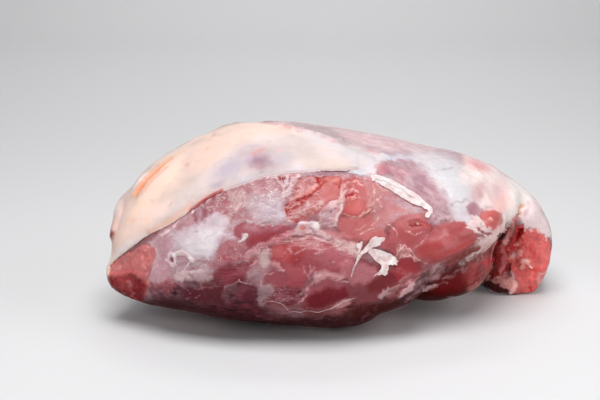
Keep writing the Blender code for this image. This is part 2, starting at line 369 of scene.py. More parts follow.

# The left half under thin skin
# Thin violet skin covers the left half of the front. Lower down it wears through in level
# streaks, and dark wine muscle shows with its fibres along the meat. Towards the table that
# dark is partly the muscle's own colour and partly painted shade.
LEFT_SKIN = ((146, 242), (170, 226), (196, 204), (228, 188), (262, 178), (286, 174), (296, 214),
    (252, 256), (228, 276), (206, 312), (144, 304), (150, 278), (157, 256))
LOWER_LEFT = ((148, 282), (164, 284), (176, 281), (206, 282), (216, 272), (236, 268), (256, 268),
    (262, 280), (268, 322), (220, 318), (146, 306))
WINE_AND_PAINTED_SHADE = ((206, 284), (214, 276), (226, 272), (244, 274), (244, 282), (234, 286), (226, 300),
    (206, 304), (186, 300), (180, 290))
LOW_EDGE_PAINTED_SHADE = ((140, 300), (170, 299), (204, 306), (236, 312), (268, 316), (300, 318), (340, 315),
    (376, 302), (396, 296), (420, 296), (404, 312), (360, 332), (300, 338), (220, 330), (140, 312))
stain(area(LEFT_SKIN, 8), tone(152, 96, 100), 0.4)
veil(area(LEFT_SKIN, 8), tone(199, 176, 184), 0.5, 0.6)
GRAIN_RISES = (246, 236)
comb(area(LEFT_SKIN, 8) * smoothstep(*GRAIN_RISES, down), RISING * 0.8)
# The lower left is painted dark down to the table: partly its own wine colour, partly painted shade.
stain(area(LOWER_LEFT, 22), tone(27, 5, 22), 1)
veil(area(LOWER_LEFT, 20) * 0.8, tone(119, 21, 42), 0.45, 0.05)
comb(area(LOWER_LEFT, 8), 0)
stain(area(WINE_AND_PAINTED_SHADE, 8), tone(91, 23, 37), 1)
veil(area(WINE_AND_PAINTED_SHADE, 8) * 0.8, tone(65, 4, 8), 0.15, 0.05)
PINK_BY_TIP = (165, 285)
veil(spot(PINK_BY_TIP, 14, 9, 0, 0.6) * 0.8, tone(168, 68, 78), 0.6, 0.4)
PALE_MIDDLE = (218, 264)
stain(spot(PALE_MIDDLE, 16, 9) * 0.8, tone(172, 120, 124), 0.9)
WEBBED_MIDDLE = (220, 264)
veil(spot(WEBBED_MIDDLE, 12, 6) * 0.7, tone(188, 117, 136), 0.2, 0.8)
MILKY_FLECK = (184, 266)
veil(spot(MILKY_FLECK, 9, 4, -10) * 0.8, tone(191, 152, 160), 0.8, 0.4)
LEFT_STRANDS = (((178, 283), (184, 287), (190, 293)), ((206, 282), (200, 286)),
    ((150, 293), (158, 293), (164, 290)), ((162, 279), (170, 281)), ((194, 288), (206, 288), (216, 286)),
    ((186, 297), (200, 296)))
strands_along(LEFT_STRANDS, tone(189, 120, 130), 0.7, 0.06, 1.4, width=1.4, strength=0.7)
UNDER_EDGE = ((168, 228), (184, 218), (198, 206), (216, 196), (236, 190), (250, 184), (246, 192),
    (228, 198), (212, 210), (200, 222), (182, 232))
veil(area(UNDER_EDGE, 4), tone(180, 137, 142), 0.7, 0.4)
EDGE_FOLDS = ((((193, 211), (196, 216), (197, 221)), 4, tone(144, 78, 90), 0.35),
    (((199, 209), (199, 215), (199, 222)), 3, tone(151, 107, 122), 0.8),
    (((205, 206), (205, 214), (204, 222)), 4.5, tone(148, 88, 101), 0.25),
    (((212, 206), (212, 214), (211, 224)), 6, tone(158, 81, 96), 0.85),
    (((215, 198), (216, 208), (217, 216)), 3.5, tone(128, 15, 19), 0.5),
    (((225, 195), (226, 204), (225, 214)), 6, tone(147, 8, 9), 0.1),
    (((219, 214), (220, 219)), 3.5, tone(150, 66, 78), 0.1))
for line, wide, shade, share in EDGE_FOLDS:
    stain(stroke(line, wide, 3), shade)
    veil(stroke(line, wide, 3), shade, share)
EDGE_STRANDS = (((211.6, 197), (208, 203), (206, 208)), ((217, 198), (219, 203), (221, 206)),
    ((223, 202), (224, 207)), ((180, 222), (174, 228), (162, 237), (154, 241)), ((196, 209), (193, 214)),
    ((219, 217), (221, 224), (218, 230)), ((168, 231), (160, 238)))
strands_along(EDGE_STRANDS, tone(229, 193, 198), 0.85, 0.12, 1.4, width=1.5)

# The silvery skin below the cap
# A sheet of silver skin, crumpled into fine webs, with a wet part painted bright as a sheen and
# a clear corner torn into white straps, cut off in a straight slanting line at its right.
SPARKLY = ((204, 206), (228, 190), (262, 178), (284, 176), (298, 178), (290, 196), (284, 208),
    (289, 222), (262, 224), (244, 222), (230, 222))
WRINKLED = ((229, 193), (236, 190), (244, 190), (250, 198), (246, 207), (236, 211), (230, 206))
PINK_PART = ((246, 185), (256, 181), (272, 178), (277, 184), (274, 191), (262, 193), (250, 194))
WEB_PART = ((248, 194), (262, 193), (276, 190), (284, 196), (283, 206), (288, 220), (278, 224),
    (262, 222), (250, 216), (246, 204))
PAINTED_SHEEN_PART = ((259, 204), (266, 200), (276, 200), (281, 206), (284, 216), (280, 222), (266, 222),
    (259, 214))
veil(area(SPARKLY, 6), tone(174, 121, 126), 0.72, 1)
veil(area(WRINKLED, 5), tone(204, 169, 167), 0.85, 0.9)
WRINKLE_FOLDS = (((231, 194), (234, 200), (236, 207)), ((238, 191), (235.5, 198), (231, 204)),
    ((242, 191), (244, 199), (242.5, 208)), ((229.5, 200), (233, 206), (236, 211)),
    ((248, 194), (245.5, 202), (240, 208)))
for fold in WRINKLE_FOLDS:
    veil(stroke(fold, 1.2, 1.2) * 0.6, tone(157, 98, 103), 0.75, raised=-0.12)
    veil(stroke(moved(fold, 1.8, 0), 1.2, 1.2) * 0.5, tone(206, 173, 173), 0.9)
bare(area(PINK_PART, 4) * 0.8, tone(177, 114, 123), 0.2)
veil(area(PINK_PART, 4), tone(184, 148, 151), 0.4, 1)
veil(area(WEB_PART, 7), tone(184, 156, 161), 0.85, 1, 0.2)
# The wet part's brightness is a painted sheen.
veil(area(PAINTED_SHEEN_PART, 8), tone(186, 165, 173), 0.95, 0.7, 0.4)
BRIGHT_PITS = ((274, 208), (274, 215.5), (281, 211), (263, 203), (268, 205))
for pit in BRIGHT_PITS:
    veil(spot(pit, 2.4, 1.8, 20) * 0.6, tone(179, 157, 161), 0.9, raised=-0.5)
TOP_NICK = ((277.5, 177.5), (286, 177), (287, 180.5), (283, 182.5), (279, 181))
bare(area(TOP_NICK, 1.5), tone(129, 4, 10))
PINK_NICK = ((288, 177), (296, 176.5), (294, 179), (289, 180))
bare(area(PINK_NICK, 2) * 0.7, tone(190, 120, 134))
WHITE_STRAPS = ((((276.5, 177), (277.5, 181), (281, 185), (283.5, 190)), 2),
    (((286, 178), (285, 185), (283.5, 192), (283, 200)), 3),
    (((298, 177), (294, 183), (290, 190), (287, 197)), 2.2), (((291, 180), (289, 187), (286, 195)), 2.4))
strands_along(WHITE_STRAPS, tone(196, 167, 170), 0.95, 0.18, 1.5)
STRAP_SHADE = ((288.5, 180), (287, 186), (285.5, 190))
stain(stroke(STRAP_SHADE, 1.2, 1) * 0.8, tone(130, 84, 100), raised=-0.3)
veil(stroke(STRAP_SHADE, 1.2, 1) * 0.8, tone(140, 100, 116), 0.7)
# The dark line under the sheet's lower end is painted shadow.
SILVER_END_PAINTED_SHADOW = ((262, 223.5), (274, 224.5), (288, 223))
stain(stroke(SILVER_END_PAINTED_SHADOW, 1.5, 1.4), tone(140, 84, 96), raised=-0.5)
SILVER_STRANDS = (((233, 221), (244, 222.5), (256, 222), (264, 226)),
    ((284, 210), (286, 216), (294, 222), (300, 225)), ((236, 213), (246, 216), (258, 215)),
    ((252, 199), (262, 198), (272, 194)), ((250, 209), (258, 206)), ((284, 205), (288, 212), (296, 218)))
strands_along(SILVER_STRANDS, tone(177, 152, 159), 0.85, 0.08, 1.4, width=1.4, strength=0.8)

# The wrinkled skin beside the tip
# Loose skin gathers in upright folds beside the tip. A milky patch of fascia has a torn lip
# and a small hole, and a milky lobe lies below it.
PATCH = ((174, 236), (184, 229), (196, 227), (207, 221), (214, 212), (222, 214), (229, 217),
    (228, 226), (224, 236), (219, 246), (216, 254), (206, 259), (194, 262), (184, 252), (173, 250))
PATCH_CORE = ((184, 240), (192, 234), (204, 232), (212, 228), (220, 232), (216, 244), (208, 254),
    (194, 257), (186, 248))
LOBE_LEFT = ((174, 276), (180, 272), (188, 271), (194, 273), (192, 279), (183, 281), (176, 281))
LOBE_RIGHT = ((190, 272), (197, 269.5), (204, 271), (210, 274), (212, 279), (203, 281), (196, 278))
BESIDE_TIP = ((151, 243), (160, 238), (172, 236), (180, 248), (178, 262), (170, 276), (158, 284),
    (149, 280), (152, 266), (156, 254))
stain(area(BESIDE_TIP, 6), tone(202, 153, 157), 0.2)
veil(area(BESIDE_TIP, 6), tone(185, 144, 153), 0.7, 0.4)
comb(area(BESIDE_TIP, 6), RISING)
UPRIGHT_FOLDS = ((((158, 243), (160, 250), (157, 258), (159, 266), (158, 274)), 0.3),
    (((168, 243), (171, 248), (168, 254), (163, 260), (162, 268)), 0.4),
    (((176, 241), (172.5, 247), (172, 253)), 0.4), (((153, 250), (156, 258), (154, 266)), 0.2))
for fold, depth in UPRIGHT_FOLDS:
    veil(stroke(fold, 3, 2.4) * 0.8, tone(190, 152, 162), 0.75, raised=-depth)
    veil(stroke(moved(fold, 3, 0), 2.2, 2) * 0.7, tone(208, 161, 174), 0.9, raised=depth / 2)
veil(area(PATCH, 7), tone(200, 183, 188), 0.92, 0.3, 0.3)
veil(area(PATCH_CORE, 9), tone(212, 201, 205), 1, 0.1, 0.2)
PATCH_CORNER = (214, 222)
veil(spot(PATCH_CORNER, 7, 8, 20, 1) * 0.3, tone(158, 136, 148), 0.9)
PATCH_STRANDS = (((176, 236), (190, 228), (204, 226)), ((205, 240), (214, 235), (222, 226)),
    ((200, 228), (212, 220), (218, 212)), ((222, 230), (228, 220)))
strands_along(PATCH_STRANDS, tone(196, 176, 184), 0.95, 0.05, 2, width=2, strength=0.6)
PATCH_PIT = (198, 233)
veil(spot(PATCH_PIT, 1.6, 1.2) * 0.6, tone(160, 140, 156), 0.9, raised=-0.3)
veil(area(LOBE_LEFT, 4), tone(214, 187, 188), 0.85, 0.5, 0.2)
veil(area(LOBE_RIGHT, 4), tone(182, 149, 152), 0.9, 0.3, 0.3)
# A dark band below the lobes is painted shadow.
LOBE_PAINTED_SHADOW = ((186, 281), (196, 284), (208, 285), (218, 286))
veil(stroke(LOBE_PAINTED_SHADOW, 4, 4) * 0.6, tone(90, 28, 32), 0.6)
LOBE_SHINE = ((192, 273), (195, 271), (200, 270.5))
veil(stroke(LOBE_SHINE, 2.4, 2.4) * 0.7, tone(215, 205, 204), 0.95)
LOBE_CLEFT = ((190.6, 274.6), (192, 278))
bare(stroke(LOBE_CLEFT, 1.6, 1.6) * 0.6, tone(140, 86, 98), 0, -0.2)
# The hollow under the torn lip and its side are painted darker: painted shadow.
TORN_HOLLOW = ((179, 257), (184, 257.6), (188, 260.4), (190, 263), (187, 264), (183, 262), (180, 260))
bare(area(TORN_HOLLOW, 3), tone(162, 124, 132), 0.1, -0.3)
HOLLOW_SIDE = ((177, 259), (183, 261), (183, 266), (177, 266))
veil(area(HOLLOW_SIDE, 3) * 0.8, tone(164, 132, 137), 0.85)
RIM = ((168, 257), (170.6, 254.8), (174, 255), (176, 257.4), (176, 260.4), (174, 262.6), (170.6, 263),
    (168, 261), (167.4, 258.6))
veil(stroke(RIM + RIM[:1], 2.6, 1.8), tone(227, 199, 206), 0.95, 0, 0.2)
RIM_FOOT = ((170, 264.4), (173, 265.6), (176.4, 264))
veil(stroke(RIM_FOOT, 1.6, 1.6) * 0.8, tone(226, 200, 204), 0.95, raised=0.2)
TORN_LIP = ((174, 255.4), (178, 253), (182, 252.4), (186, 254), (189.6, 257.4), (192.6, 260.6))
veil(stroke(TORN_LIP, 3.4, 1.4, True), tone(239, 239, 239), 1, 0, 0.5)
LIP_PAINTED_SHADOW = ((178.6, 257), (183, 257.6), (187, 260.4), (189, 263))
bare(stroke(LIP_PAINTED_SHADOW, 2.6, 1.6, True), tone(210, 168, 180), 0, -0.5)
RIM_HOLE = (171.8, 259)
bare(spot(RIM_HOLE, 2, 1.8, 0, 0.3), tone(136, 89, 103), 0, -0.6)

# The left tip
# The cut end of the lower muscle: bare red flesh in two facets, the lower one painted darker as
# painted shade, with a thin pale edge below and a painted shadow line under the tip.
TIP = ((107, 273), (110, 266), (116, 259), (130, 251.5), (142, 245), (151, 243.5), (154, 248),
    (155.5, 254), (154, 263), (150, 268), (148, 273), (150, 281), (150, 287), (147, 293), (143, 301),
    (135, 304), (122, 295), (112, 286))
TIP_PAINTED_SHADE = ((105, 273), (112, 275), (121, 275), (131, 272), (141, 277), (148, 286), (146, 304),
    (130, 306), (108, 286))
on_tip = area(TIP, 1.6)
bare(on_tip, tone(211, 128, 126), 0.15, -0.2)
bare(on_tip * smoothstep(0, 0.7, lumps(7, 31)) * 0.5, tone(230, 131, 122))
bare(on_tip * smoothstep(0.1, 0.6, lumps(4, 34)) * 0.35, tone(178, 93, 97))
# The lower, downward facet is painted darker: painted shade.
bare(on_tip * area(TIP_PAINTED_SHADE, 12), tone(130, 26, 33), 0.1)
TIP_RED = ((118, 278), (130, 277), (133, 286), (128, 293), (118, 288))
bare(on_tip * area(TIP_RED, 5) * 0.6, tone(173, 76, 76))
lift += on_tip * (0.8 * lumps(6, 32) + 0.5 * lumps(2.6, 33))
TIP_RIDGE = ((107, 272), (120, 274), (131, 271.5), (141, 276))
bare(stroke(TIP_RIDGE, 3, 2.6) * 0.8, tone(224, 113, 114), raised=0.5)
TIP_SEAM = ((129, 281), (129.6, 288), (133, 296), (137, 302))
veil(stroke(TIP_SEAM, 1.1, 1.2) * 0.6, tone(174, 134, 119), 0.8)
# A near-black line under the tip: painted shadow.
TIP_PAINTED_SHADOW = ((112, 284), (120, 291), (131, 299), (137, 304))
veil(stroke(TIP_PAINTED_SHADOW, 1.6, 1.4), tone(22, 38, 37), 0.8, raised=0.12)
TIP_BORDER = ((151, 244), (155, 249), (156.5, 256), (155, 265), (151, 272))
veil(stroke(TIP_BORDER, 1.4, 1.4) * 0.7, tone(212, 168, 166), 0.85, raised=0.12)

# The red windows and the white fascia of the middle
# Bare patches of muscle show where the skin was trimmed away, and pinkish white fascia runs
# between them in bands and a forked column.
RED_WINDOW = ((234, 228), (236, 224), (248, 224), (262, 225.5), (280, 225), (293, 229), (288, 233),
    (275, 238), (262, 243), (251, 249.5), (247, 250), (246, 241), (249, 236), (243, 233), (241, 239),
    (235, 236))
MOTTLED = ((221, 243), (230, 240), (240, 240), (246, 242), (247, 254), (241, 262), (228, 262),
    (218, 260), (217, 252))
CENTRE_RED = ((272, 250), (280, 244), (296, 240), (312, 238), (330, 244), (352, 250), (362, 262),
    (350, 276), (330, 272), (316, 270), (308, 278), (306, 288), (296, 292), (276, 288), (270, 276))
bare(area(RED_WINDOW, 2.2), tone(155, 74, 85), 0.4)
WINDOW_HEART = ((250, 236), (262, 234), (276, 232), (280, 236), (262, 243), (251, 248))
bare(area(WINDOW_HEART, 5) * 0.6, tone(146, 42, 49))
WINDOW_WEB = ((246, 227), (258, 229), (270, 228), (284, 227))
veil(stroke(WINDOW_WEB, 5, 5) * 0.4, tone(214, 150, 160), 0.4, 0.8)
bare(area(MOTTLED, 4) * 0.85, tone(182, 113, 120))
veil(area(MOTTLED, 4) * smoothstep(0, 0.5, lumps(4, 74)), tone(160, 91, 94), 0.5, 1)
MOTTLED_FOOT = ((220, 257), (228, 259), (238, 260), (247, 258))
veil(stroke(MOTTLED_FOOT, 3, 3) * 0.8, tone(168, 31, 33), 0.6, 1)
BELOW_MOTTLED = ((219, 264), (234, 262), (246, 262), (254, 266), (250, 276), (240, 278), (228, 284),
    (212, 276))
bare(area(BELOW_MOTTLED, 12), tone(131, 53, 63), 0.9)
LEVEL_FILM = ((234, 263), (240, 268), (252, 266))
veil(stroke(LEVEL_FILM, 5, 5) * 0.5, tone(190, 140, 150), 0.5, 0.6)
bare(area(CENTRE_RED, 5), tone(157, 76, 82), 0.5)
CENTRE_LEFT = ((272.5, 250), (276, 245), (288, 243), (298, 244), (302, 254), (290, 263), (280, 263),
    (273, 260))
bare(area(CENTRE_LEFT, 5), tone(164, 61, 66), 0.3)
CENTRE_SPOT = (277, 252)
bare(spot(CENTRE_SPOT, 6, 5.5, 0, 0.7) * 0.8, tone(171, 80, 81))
CENTRE_DARK = ((282, 244), (300, 241), (308, 246), (302, 262), (294, 268), (290, 258), (294, 248))
bare(area(CENTRE_DARK, 6) * 0.7, tone(146, 49, 53))
CENTRE_FOOT = ((280, 272), (290, 266), (304, 268), (308, 276), (304, 286), (290, 288), (280, 282))
bare(area(CENTRE_FOOT, 5) * 0.8, tone(174, 82, 91))
CENTRE_RIGHT = ((316, 248), (338, 248), (352, 256), (344, 268), (324, 268), (314, 258))
bare(area(CENTRE_RIGHT, 8) * 0.7, tone(173, 101, 109))
CENTRE_END = ((338, 262), (360, 258), (370, 270), (364, 282), (350, 280), (340, 274))
bare(area(CENTRE_END, 6) * 0.7, tone(196, 122, 128))
CENTRE_CRACKS = (((303, 268), (306, 273), (308, 278)), ((311, 266), (310, 273)), ((314, 267), (310, 275)))
for crack in CENTRE_CRACKS:
    stain(stroke(crack, 1.5, 1.5) * 0.7, tone(212, 153, 160), raised=-0.4)
CENTRE_DROPS = ((285, 252), (288, 255), (282, 257), (296, 259), (281, 262), (309, 246), (333, 262),
    (346, 262))
for drop in CENTRE_DROPS:
    veil(spot(drop, 1.1, 0.9) * 0.7, tone(232, 170, 168), 0.7, raised=0.25)

BAND = tone(218, 153, 159)
UPPER_BAND = ((247, 257), (253, 251), (262, 246), (272, 242), (283, 237.5), (294, 233), (304, 230))
LOWER_BAND = ((322, 234), (331, 238), (342, 241.5), (352, 244), (360, 247))
FILM = ((330, 240), (340, 240), (352, 242), (361, 246), (362, 254), (357, 260), (347, 252), (336, 247))
veil(stroke(UPPER_BAND, 6, 5) * 0.9, BAND, 0.65, 0.7, 0.4)
veil(stroke(moved(UPPER_BAND, 0, -1.5), 2, 2) * 0.8, tone(184, 107, 113), 0.9, raised=0.12)
veil(stroke(moved(UPPER_BAND[:5], 1, 3), 1.2, 1.2) * 0.6, tone(184, 114, 130), 0.6,
     raised=-0.4)
veil(stroke(LOWER_BAND, 6, 4) * 0.9, tone(173, 85, 98), 0.8, 0.5, 0.4)
veil(area(FILM, 5), tone(198, 165, 163), 0.75, 0.5, 0.2)
LUMP = ((295.5, 227), (300.7, 223), (306.5, 221.4), (314.8, 221.4), (319.8, 223), (321.5, 228),
    (326, 233), (331.5, 236), (330, 241), (323, 238), (316.4, 234.5), (307, 234.7), (301.5, 234),
    (295, 236))
veil(area(LUMP, 2), tone(196, 159, 160), 0.95, 0.2, 0.9)
LUMP_SHINE = (316.5, 225.5)
veil(spot(LUMP_SHINE, 4.6, 4, 0, 0.7) * 0.8, tone(239, 234, 234), 1, raised=0.2)
LUMP_RIDGE = ((298, 225), (304, 222.8), (312, 222))
veil(stroke(LUMP_RIDGE, 2, 2) * 0.8, tone(206, 197, 208), 1)
LUMP_CLEFT = ((310.5, 228.3), (313, 231), (316.4, 234.7))
stain(stroke(LUMP_CLEFT, 1.3, 1.3), tone(140, 90, 108), raised=-0.5)
veil(stroke(LUMP_CLEFT, 1.3, 1.3) * 0.8, tone(150, 110, 128), 0.7)
LUMP_HOLE = (303.2, 228.2)
bare(spot(LUMP_HOLE, 2.2, 1.5, 10, 0.8) * 0.8, tone(226, 130, 100))
LUMP_CRACK = ((304, 228), (306, 231), (308, 233))
stain(stroke(LUMP_CRACK, 1, 1) * 0.6, tone(170, 84, 80))
BAND_STRANDS = (((295, 255.4), (302, 251), (311.4, 244.7)),
    ((315.5, 255.4), (324, 251.5), (332, 248.3), (345, 243)), ((336, 250), (344, 255), (354, 260)),
    ((287, 247), (292, 254)), ((320, 250), (330, 249)))
strands_along(BAND_STRANDS, tone(149, 100, 107), 0.8, 0.08, 1.4, width=1.4, strength=0.8)
COLUMN = ((256, 253), (262, 249), (270, 248), (272, 254), (272, 262), (277, 265), (283, 269.5),
    (276, 270), (268, 272), (265, 278), (264, 284), (272, 286), (276, 289), (268, 297), (263, 308),
    (257, 300), (258, 288), (252, 283), (246, 280), (246, 272), (252, 266), (255, 260))
veil(area(COLUMN, 5), tone(155, 106, 114), 0.8, 0.3, 0.3)
COLUMN_TOP = ((258, 253), (264, 249), (270, 250), (271, 262), (264, 268), (258, 264))
veil(area(COLUMN_TOP, 5), tone(186, 155, 155), 0.95, 0.1)
COLUMN_MIDDLE = ((248, 274), (256, 268), (264, 268), (262, 280), (252, 282))
veil(area(COLUMN_MIDDLE, 6) * 0.8, tone(167, 132, 137), 0.8, 0.2)
COLUMN_PIT = (269.5, 249)
stain(spot(COLUMN_PIT, 2.2, 1.8), tone(150, 112, 122), raised=-0.5)
COLUMN_CREST = ((256, 252), (262, 247.5), (268, 246.5), (271, 250))
veil(stroke(COLUMN_CREST, 1.3, 1.3), tone(222, 176, 181), 0.9, raised=0.12)
HOOKED_RED = ((267, 274), (272, 269), (280, 270.5), (288, 272), (288, 280), (280, 285), (271, 284),
    (267, 280))
bare(area(HOOKED_RED, 3), tone(155, 76, 85), 0.3)
HOOKED_EDGE = ((273, 264.8), (278, 266), (283, 269.3))
veil(stroke(HOOKED_EDGE, 2.4, 2), tone(195, 135, 137), 0.85, raised=0.12)
# Short pale hooks here are painted glints.
PAINTED_GLINT_HOOKS = ((((279, 270.8), (281.5, 269.8), (284, 270.8)), 1.6),
    (((265.2, 273.6), (269, 272.4), (275, 272.8)), 1.2),
    (((244, 283.1), (248, 283.5), (252.5, 283.4)), 1.6), (((261.4, 281), (262, 286), (261.5, 288)), 1.6),
    (((249, 266), (252, 264.5), (256, 262.5)), 1.6), (((236, 283), (240, 281.5), (243, 282.8)), 1.3))
strands_along(PAINTED_GLINT_HOOKS, tone(199, 143, 150), 0.95, 0.16, 1.3)
RING = ((235, 292), (237, 287), (243, 284.5), (252, 284.5), (256.5, 288), (256, 295), (252, 300),
    (242, 302), (236, 298))
BESIDE_RING = ((222, 290), (228, 285), (237, 283), (238, 291), (236, 300), (226, 304), (221, 298))
veil(area(BESIDE_RING, 5), tone(114, 73, 77), 0.7, 0.2)
bare(area(RING, 6), tone(114, 54, 65), 0.6)
RING_HEART = ((240, 292), (250, 289), (255, 291), (252, 299), (244, 301))
bare(area(RING_HEART, 4) * 0.8, tone(92, 22, 40))
RING_PIT = (232.6, 296)
bare(spot(RING_PIT, 2.6, 1.6, 0), tone(84, 21, 37))
RING_TOP = ((224, 288), (230, 285), (237, 282.8))
veil(stroke(RING_TOP, 2, 2) * 0.8, tone(168, 124, 132), 0.8, raised=0.08)
COLUMN_FOOT = ((258, 286), (268, 285), (276, 290), (268, 298), (262, 308), (257, 300))
veil(area(COLUMN_FOOT, 5), tone(162, 128, 133), 0.8, 0.2)
FIBRED = ((274, 289), (286, 287), (299, 288), (304, 296), (300, 303), (290, 306), (280, 303), (272, 300))
stain(area(FIBRED, 5), tone(100, 3, 9), 1)
veil(area(FIBRED, 5), tone(148, 79, 98), 0.35, 0.6)
FIBRE = ((275, 290), (287, 289.4), (300, 290))
for low in (0, 2.6, 5.3, 8, 10.6):
    veil(stroke(moved(FIBRE, 0, low), 1, 1.2) * 0.5, tone(207, 142, 151), 0.7)
BOWL = ((306, 295), (309, 287), (316, 282), (330, 280), (346, 282.5), (358, 287), (356, 297),
    (340, 300), (324, 309), (307, 310))
bare(area(BOWL, 7), tone(159, 83, 92), 0.4)
BOWL_DARK = ((306, 298), (316, 292), (328, 288), (344, 287), (356, 292), (350, 298), (338, 301),
    (324, 309), (306, 309))
bare(area(BOWL_DARK, 7), tone(117, 29, 39), 0.5)
BOWL_LID = ((311, 279), (316, 272), (324, 271), (332, 272), (346, 273), (350, 279), (338, 281),
    (326, 279), (315, 284))
veil(area(BOWL_LID, 5) * 0.9, tone(213, 156, 158), 0.75, 0.2)
LID_SHINE = (317.5, 275)
veil(spot(LID_SHINE, 4, 3, -30) * 0.8, tone(220, 171, 173), 0.9)
BOWL_STRANDS = ((((301, 302), (303.5, 298), (306.3, 294.2)), 2),
    (((307, 291), (309, 286), (313, 281)), 2),
    (((343, 282), (346, 282.4), (348, 282.6), (349.8, 280.6)), 1.7), (((299, 304), (303, 300)), 1.4))
strands_along(BOWL_STRANDS, tone(197, 137, 144), 0.9, 0.16, 1.5)

# The dark lower front
# Towards the table the muscles curve under, and their flesh is painted dark there as painted
# shade. A pale torn edge of fascia runs along them, from a thread at the left to a soft lump at
# the right.
# Painted shade: the flesh grows dark towards the table.
stain(area(LOW_EDGE_PAINTED_SHADE, 12), tone(60, 11, 13), 0.8)
veil(area(LOW_EDGE_PAINTED_SHADE, 12), tone(64, 18, 21), 0.2, 0)
LOW_RIGHT_PAINTED_SHADE = ((352, 300), (370, 294), (384, 292), (388, 304), (368, 314), (346, 318), (344, 308))
stain(area(LOW_RIGHT_PAINTED_SHADE, 8), tone(74, 11, 13))
LOW_LEFT_PAINTED_SHADE = ((204, 308), (240, 312), (272, 318), (300, 322), (290, 330), (240, 326), (200, 316))
veil(area(LOW_LEFT_PAINTED_SHADE, 6) * 0.7, tone(54, 17, 22), 0.5)
LOW_MIDDLE_PAINTED_SHADE = ((262, 307), (276, 309), (286, 314), (300, 317), (330, 314), (350, 310), (352, 322),
    (320, 326), (280, 322), (258, 314))
veil(area(LOW_MIDDLE_PAINTED_SHADE, 5) * 0.8, tone(58, 20, 25), 0.6, 0.2)
LOW_STRANDS = (((258, 316.6), (264, 318), (270.6, 319.7)), ((316, 319), (320, 318)),
    ((362, 319), (366, 316), (369, 314)))
strands_along(LOW_STRANDS, tone(138, 74, 96), 0.7, 0.08, 2.4, width=2.4, strength=0.7)
TORN_EDGE = ((287, 311), (297, 310.5), (301, 312), (309.4, 309.7), (315.5, 311.5), (324.7, 310),
    (331.8, 308))
TORN_LUMP = ((330, 308.5), (336, 303), (342, 299.5), (350, 298), (358, 298), (356, 300.5), (350, 304),
    (340, 306.5))
veil(stroke(TORN_EDGE, 1.7, 1.3), tone(99, 44, 50), 0.95, raised=0.16)
veil(area(TORN_LUMP, 1.8), tone(189, 132, 134), 0.95, 0.2, 0.7)
THREAD_BED = ((263.5, 301.3), (274.7, 301.3), (280.8, 304.4), (284.9, 305.4), (288, 310))
veil(stroke(THREAD_BED, 1.5, 1.3), tone(123, 66, 77), 0.9, raised=0.12)
LOW_TAGS = (((367, 294), (369, 296)), ((382.9, 292), (387, 288)), ((376.7, 303.4), (382, 300)),
    ((374, 309), (378, 305)))
strands_along(LOW_TAGS, tone(82, 44, 43), 0.85, 0.16, 2, width=2.6)

# The shoulder of fat and fascia on the right
# Thin violet skin beside the cap's white end, then thick bluish white fascia that fades into
# it, and pink fat to the right end. A pinkish strip runs along the top.
SHOULDER = ((278, 118), (300, 118), (330, 124), (380, 132), (420, 138), (460, 148), (500, 160),
    (532, 182), (560, 230), (548, 238), (524, 226), (510, 224), (500, 232), (470, 224), (440, 216),
    (424, 200), (396, 182), (374, 174), (379, 154), (349, 146), (315, 134))
TOP_STRIP = ((276, 116), (300, 118), (330, 123), (356, 128), (368, 134), (352, 146), (315, 134), (290, 127))
WHITE_BAND = ((345, 148), (366, 152), (384, 156), (404, 155), (424, 158), (416, 164), (398, 160),
    (384, 163), (374, 170), (366, 174), (352, 168))
VIOLET_SKIN = ((374, 168), (377.5, 163.7), (390, 162.3), (398, 158.8), (408, 158.8), (417, 164),
    (425, 170), (430, 178), (434, 185), (440, 190), (447, 197), (450, 208), (449, 215), (440, 222),
    (433, 227), (428, 214), (430, 206), (419, 196), (406, 186), (392, 178), (378, 172))
WHITE_PATCH = ((412, 150), (436, 152), (456, 160), (468, 172), (474, 186), (474, 200), (470, 206),
    (474, 216), (466, 224), (452, 221), (450, 208), (448, 197), (440, 188), (434, 181), (428, 172),
    (420, 163))
PATCH_HEART = ((432, 166), (446, 164), (458, 170), (466, 184), (466, 198), (460, 206), (452, 200),
    (444, 186), (436, 178))
RIGHT_FAT = ((462, 150), (500, 164), (530, 186), (528, 200), (518, 213), (510, 224), (500, 232),
    (494, 226), (500, 212), (488, 206), (478, 206), (474, 190), (468, 174))
END_FAT = ((506, 176), (530, 188), (544, 204), (530, 203), (519, 210), (512, 196))
TAIL_SKIN = ((522, 202), (542, 200), (558, 230), (552, 240), (536, 231), (524, 228), (519, 214))
veil(area(SHOULDER, 5), tone(169, 144, 150), 0.95, 0.2)
comb(area(SHOULDER, 8), FALLING)
veil(area(TOP_STRIP, 7), tone(161, 136, 139), 0.95, 0.05)
PALE_TOP = ((330, 126), (372, 132), (420, 141), (440, 148), (420, 152), (384, 150), (352, 143))
veil(area(PALE_TOP, 8) * 0.8, tone(204, 173, 176), 0.92)
veil(area(WHITE_BAND, 6), tone(198, 192, 201), 1, 0.1)
TOP_CREASES = (((358.8, 145.8), (361, 146), (363.5, 146.5)), ((366.8, 149.8), (372, 151), (377.5, 153.4)))
strands_along(TOP_CREASES, tone(200, 128, 128), 0.9, -0.3, 1.3, width=1.3, strength=0.8)
veil(area(VIOLET_SKIN, 6), tone(176, 142, 150), 0.85, 0.3)
VIOLET_CORNER = ((375, 169), (378, 165), (386, 164.5), (391, 168), (388, 174), (380, 175))
bare(area(VIOLET_CORNER, 4) * 0.9, tone(198, 133, 143), 0.2)
VIOLET_PINK = ((388, 166), (400, 168), (410, 176), (408, 186), (398, 181), (389, 174))
veil(area(VIOLET_PINK, 5) * 0.7, tone(206, 152, 161), 0.7)
VIOLET_PALE = ((402, 177), (409, 176), (416, 180), (413, 186), (406, 185))
veil(area(VIOLET_PALE, 4) * 0.9, tone(181, 152, 158), 0.95)
VIOLET_SHADE = ((412, 176), (424, 176), (430, 184), (426, 194), (416, 188))
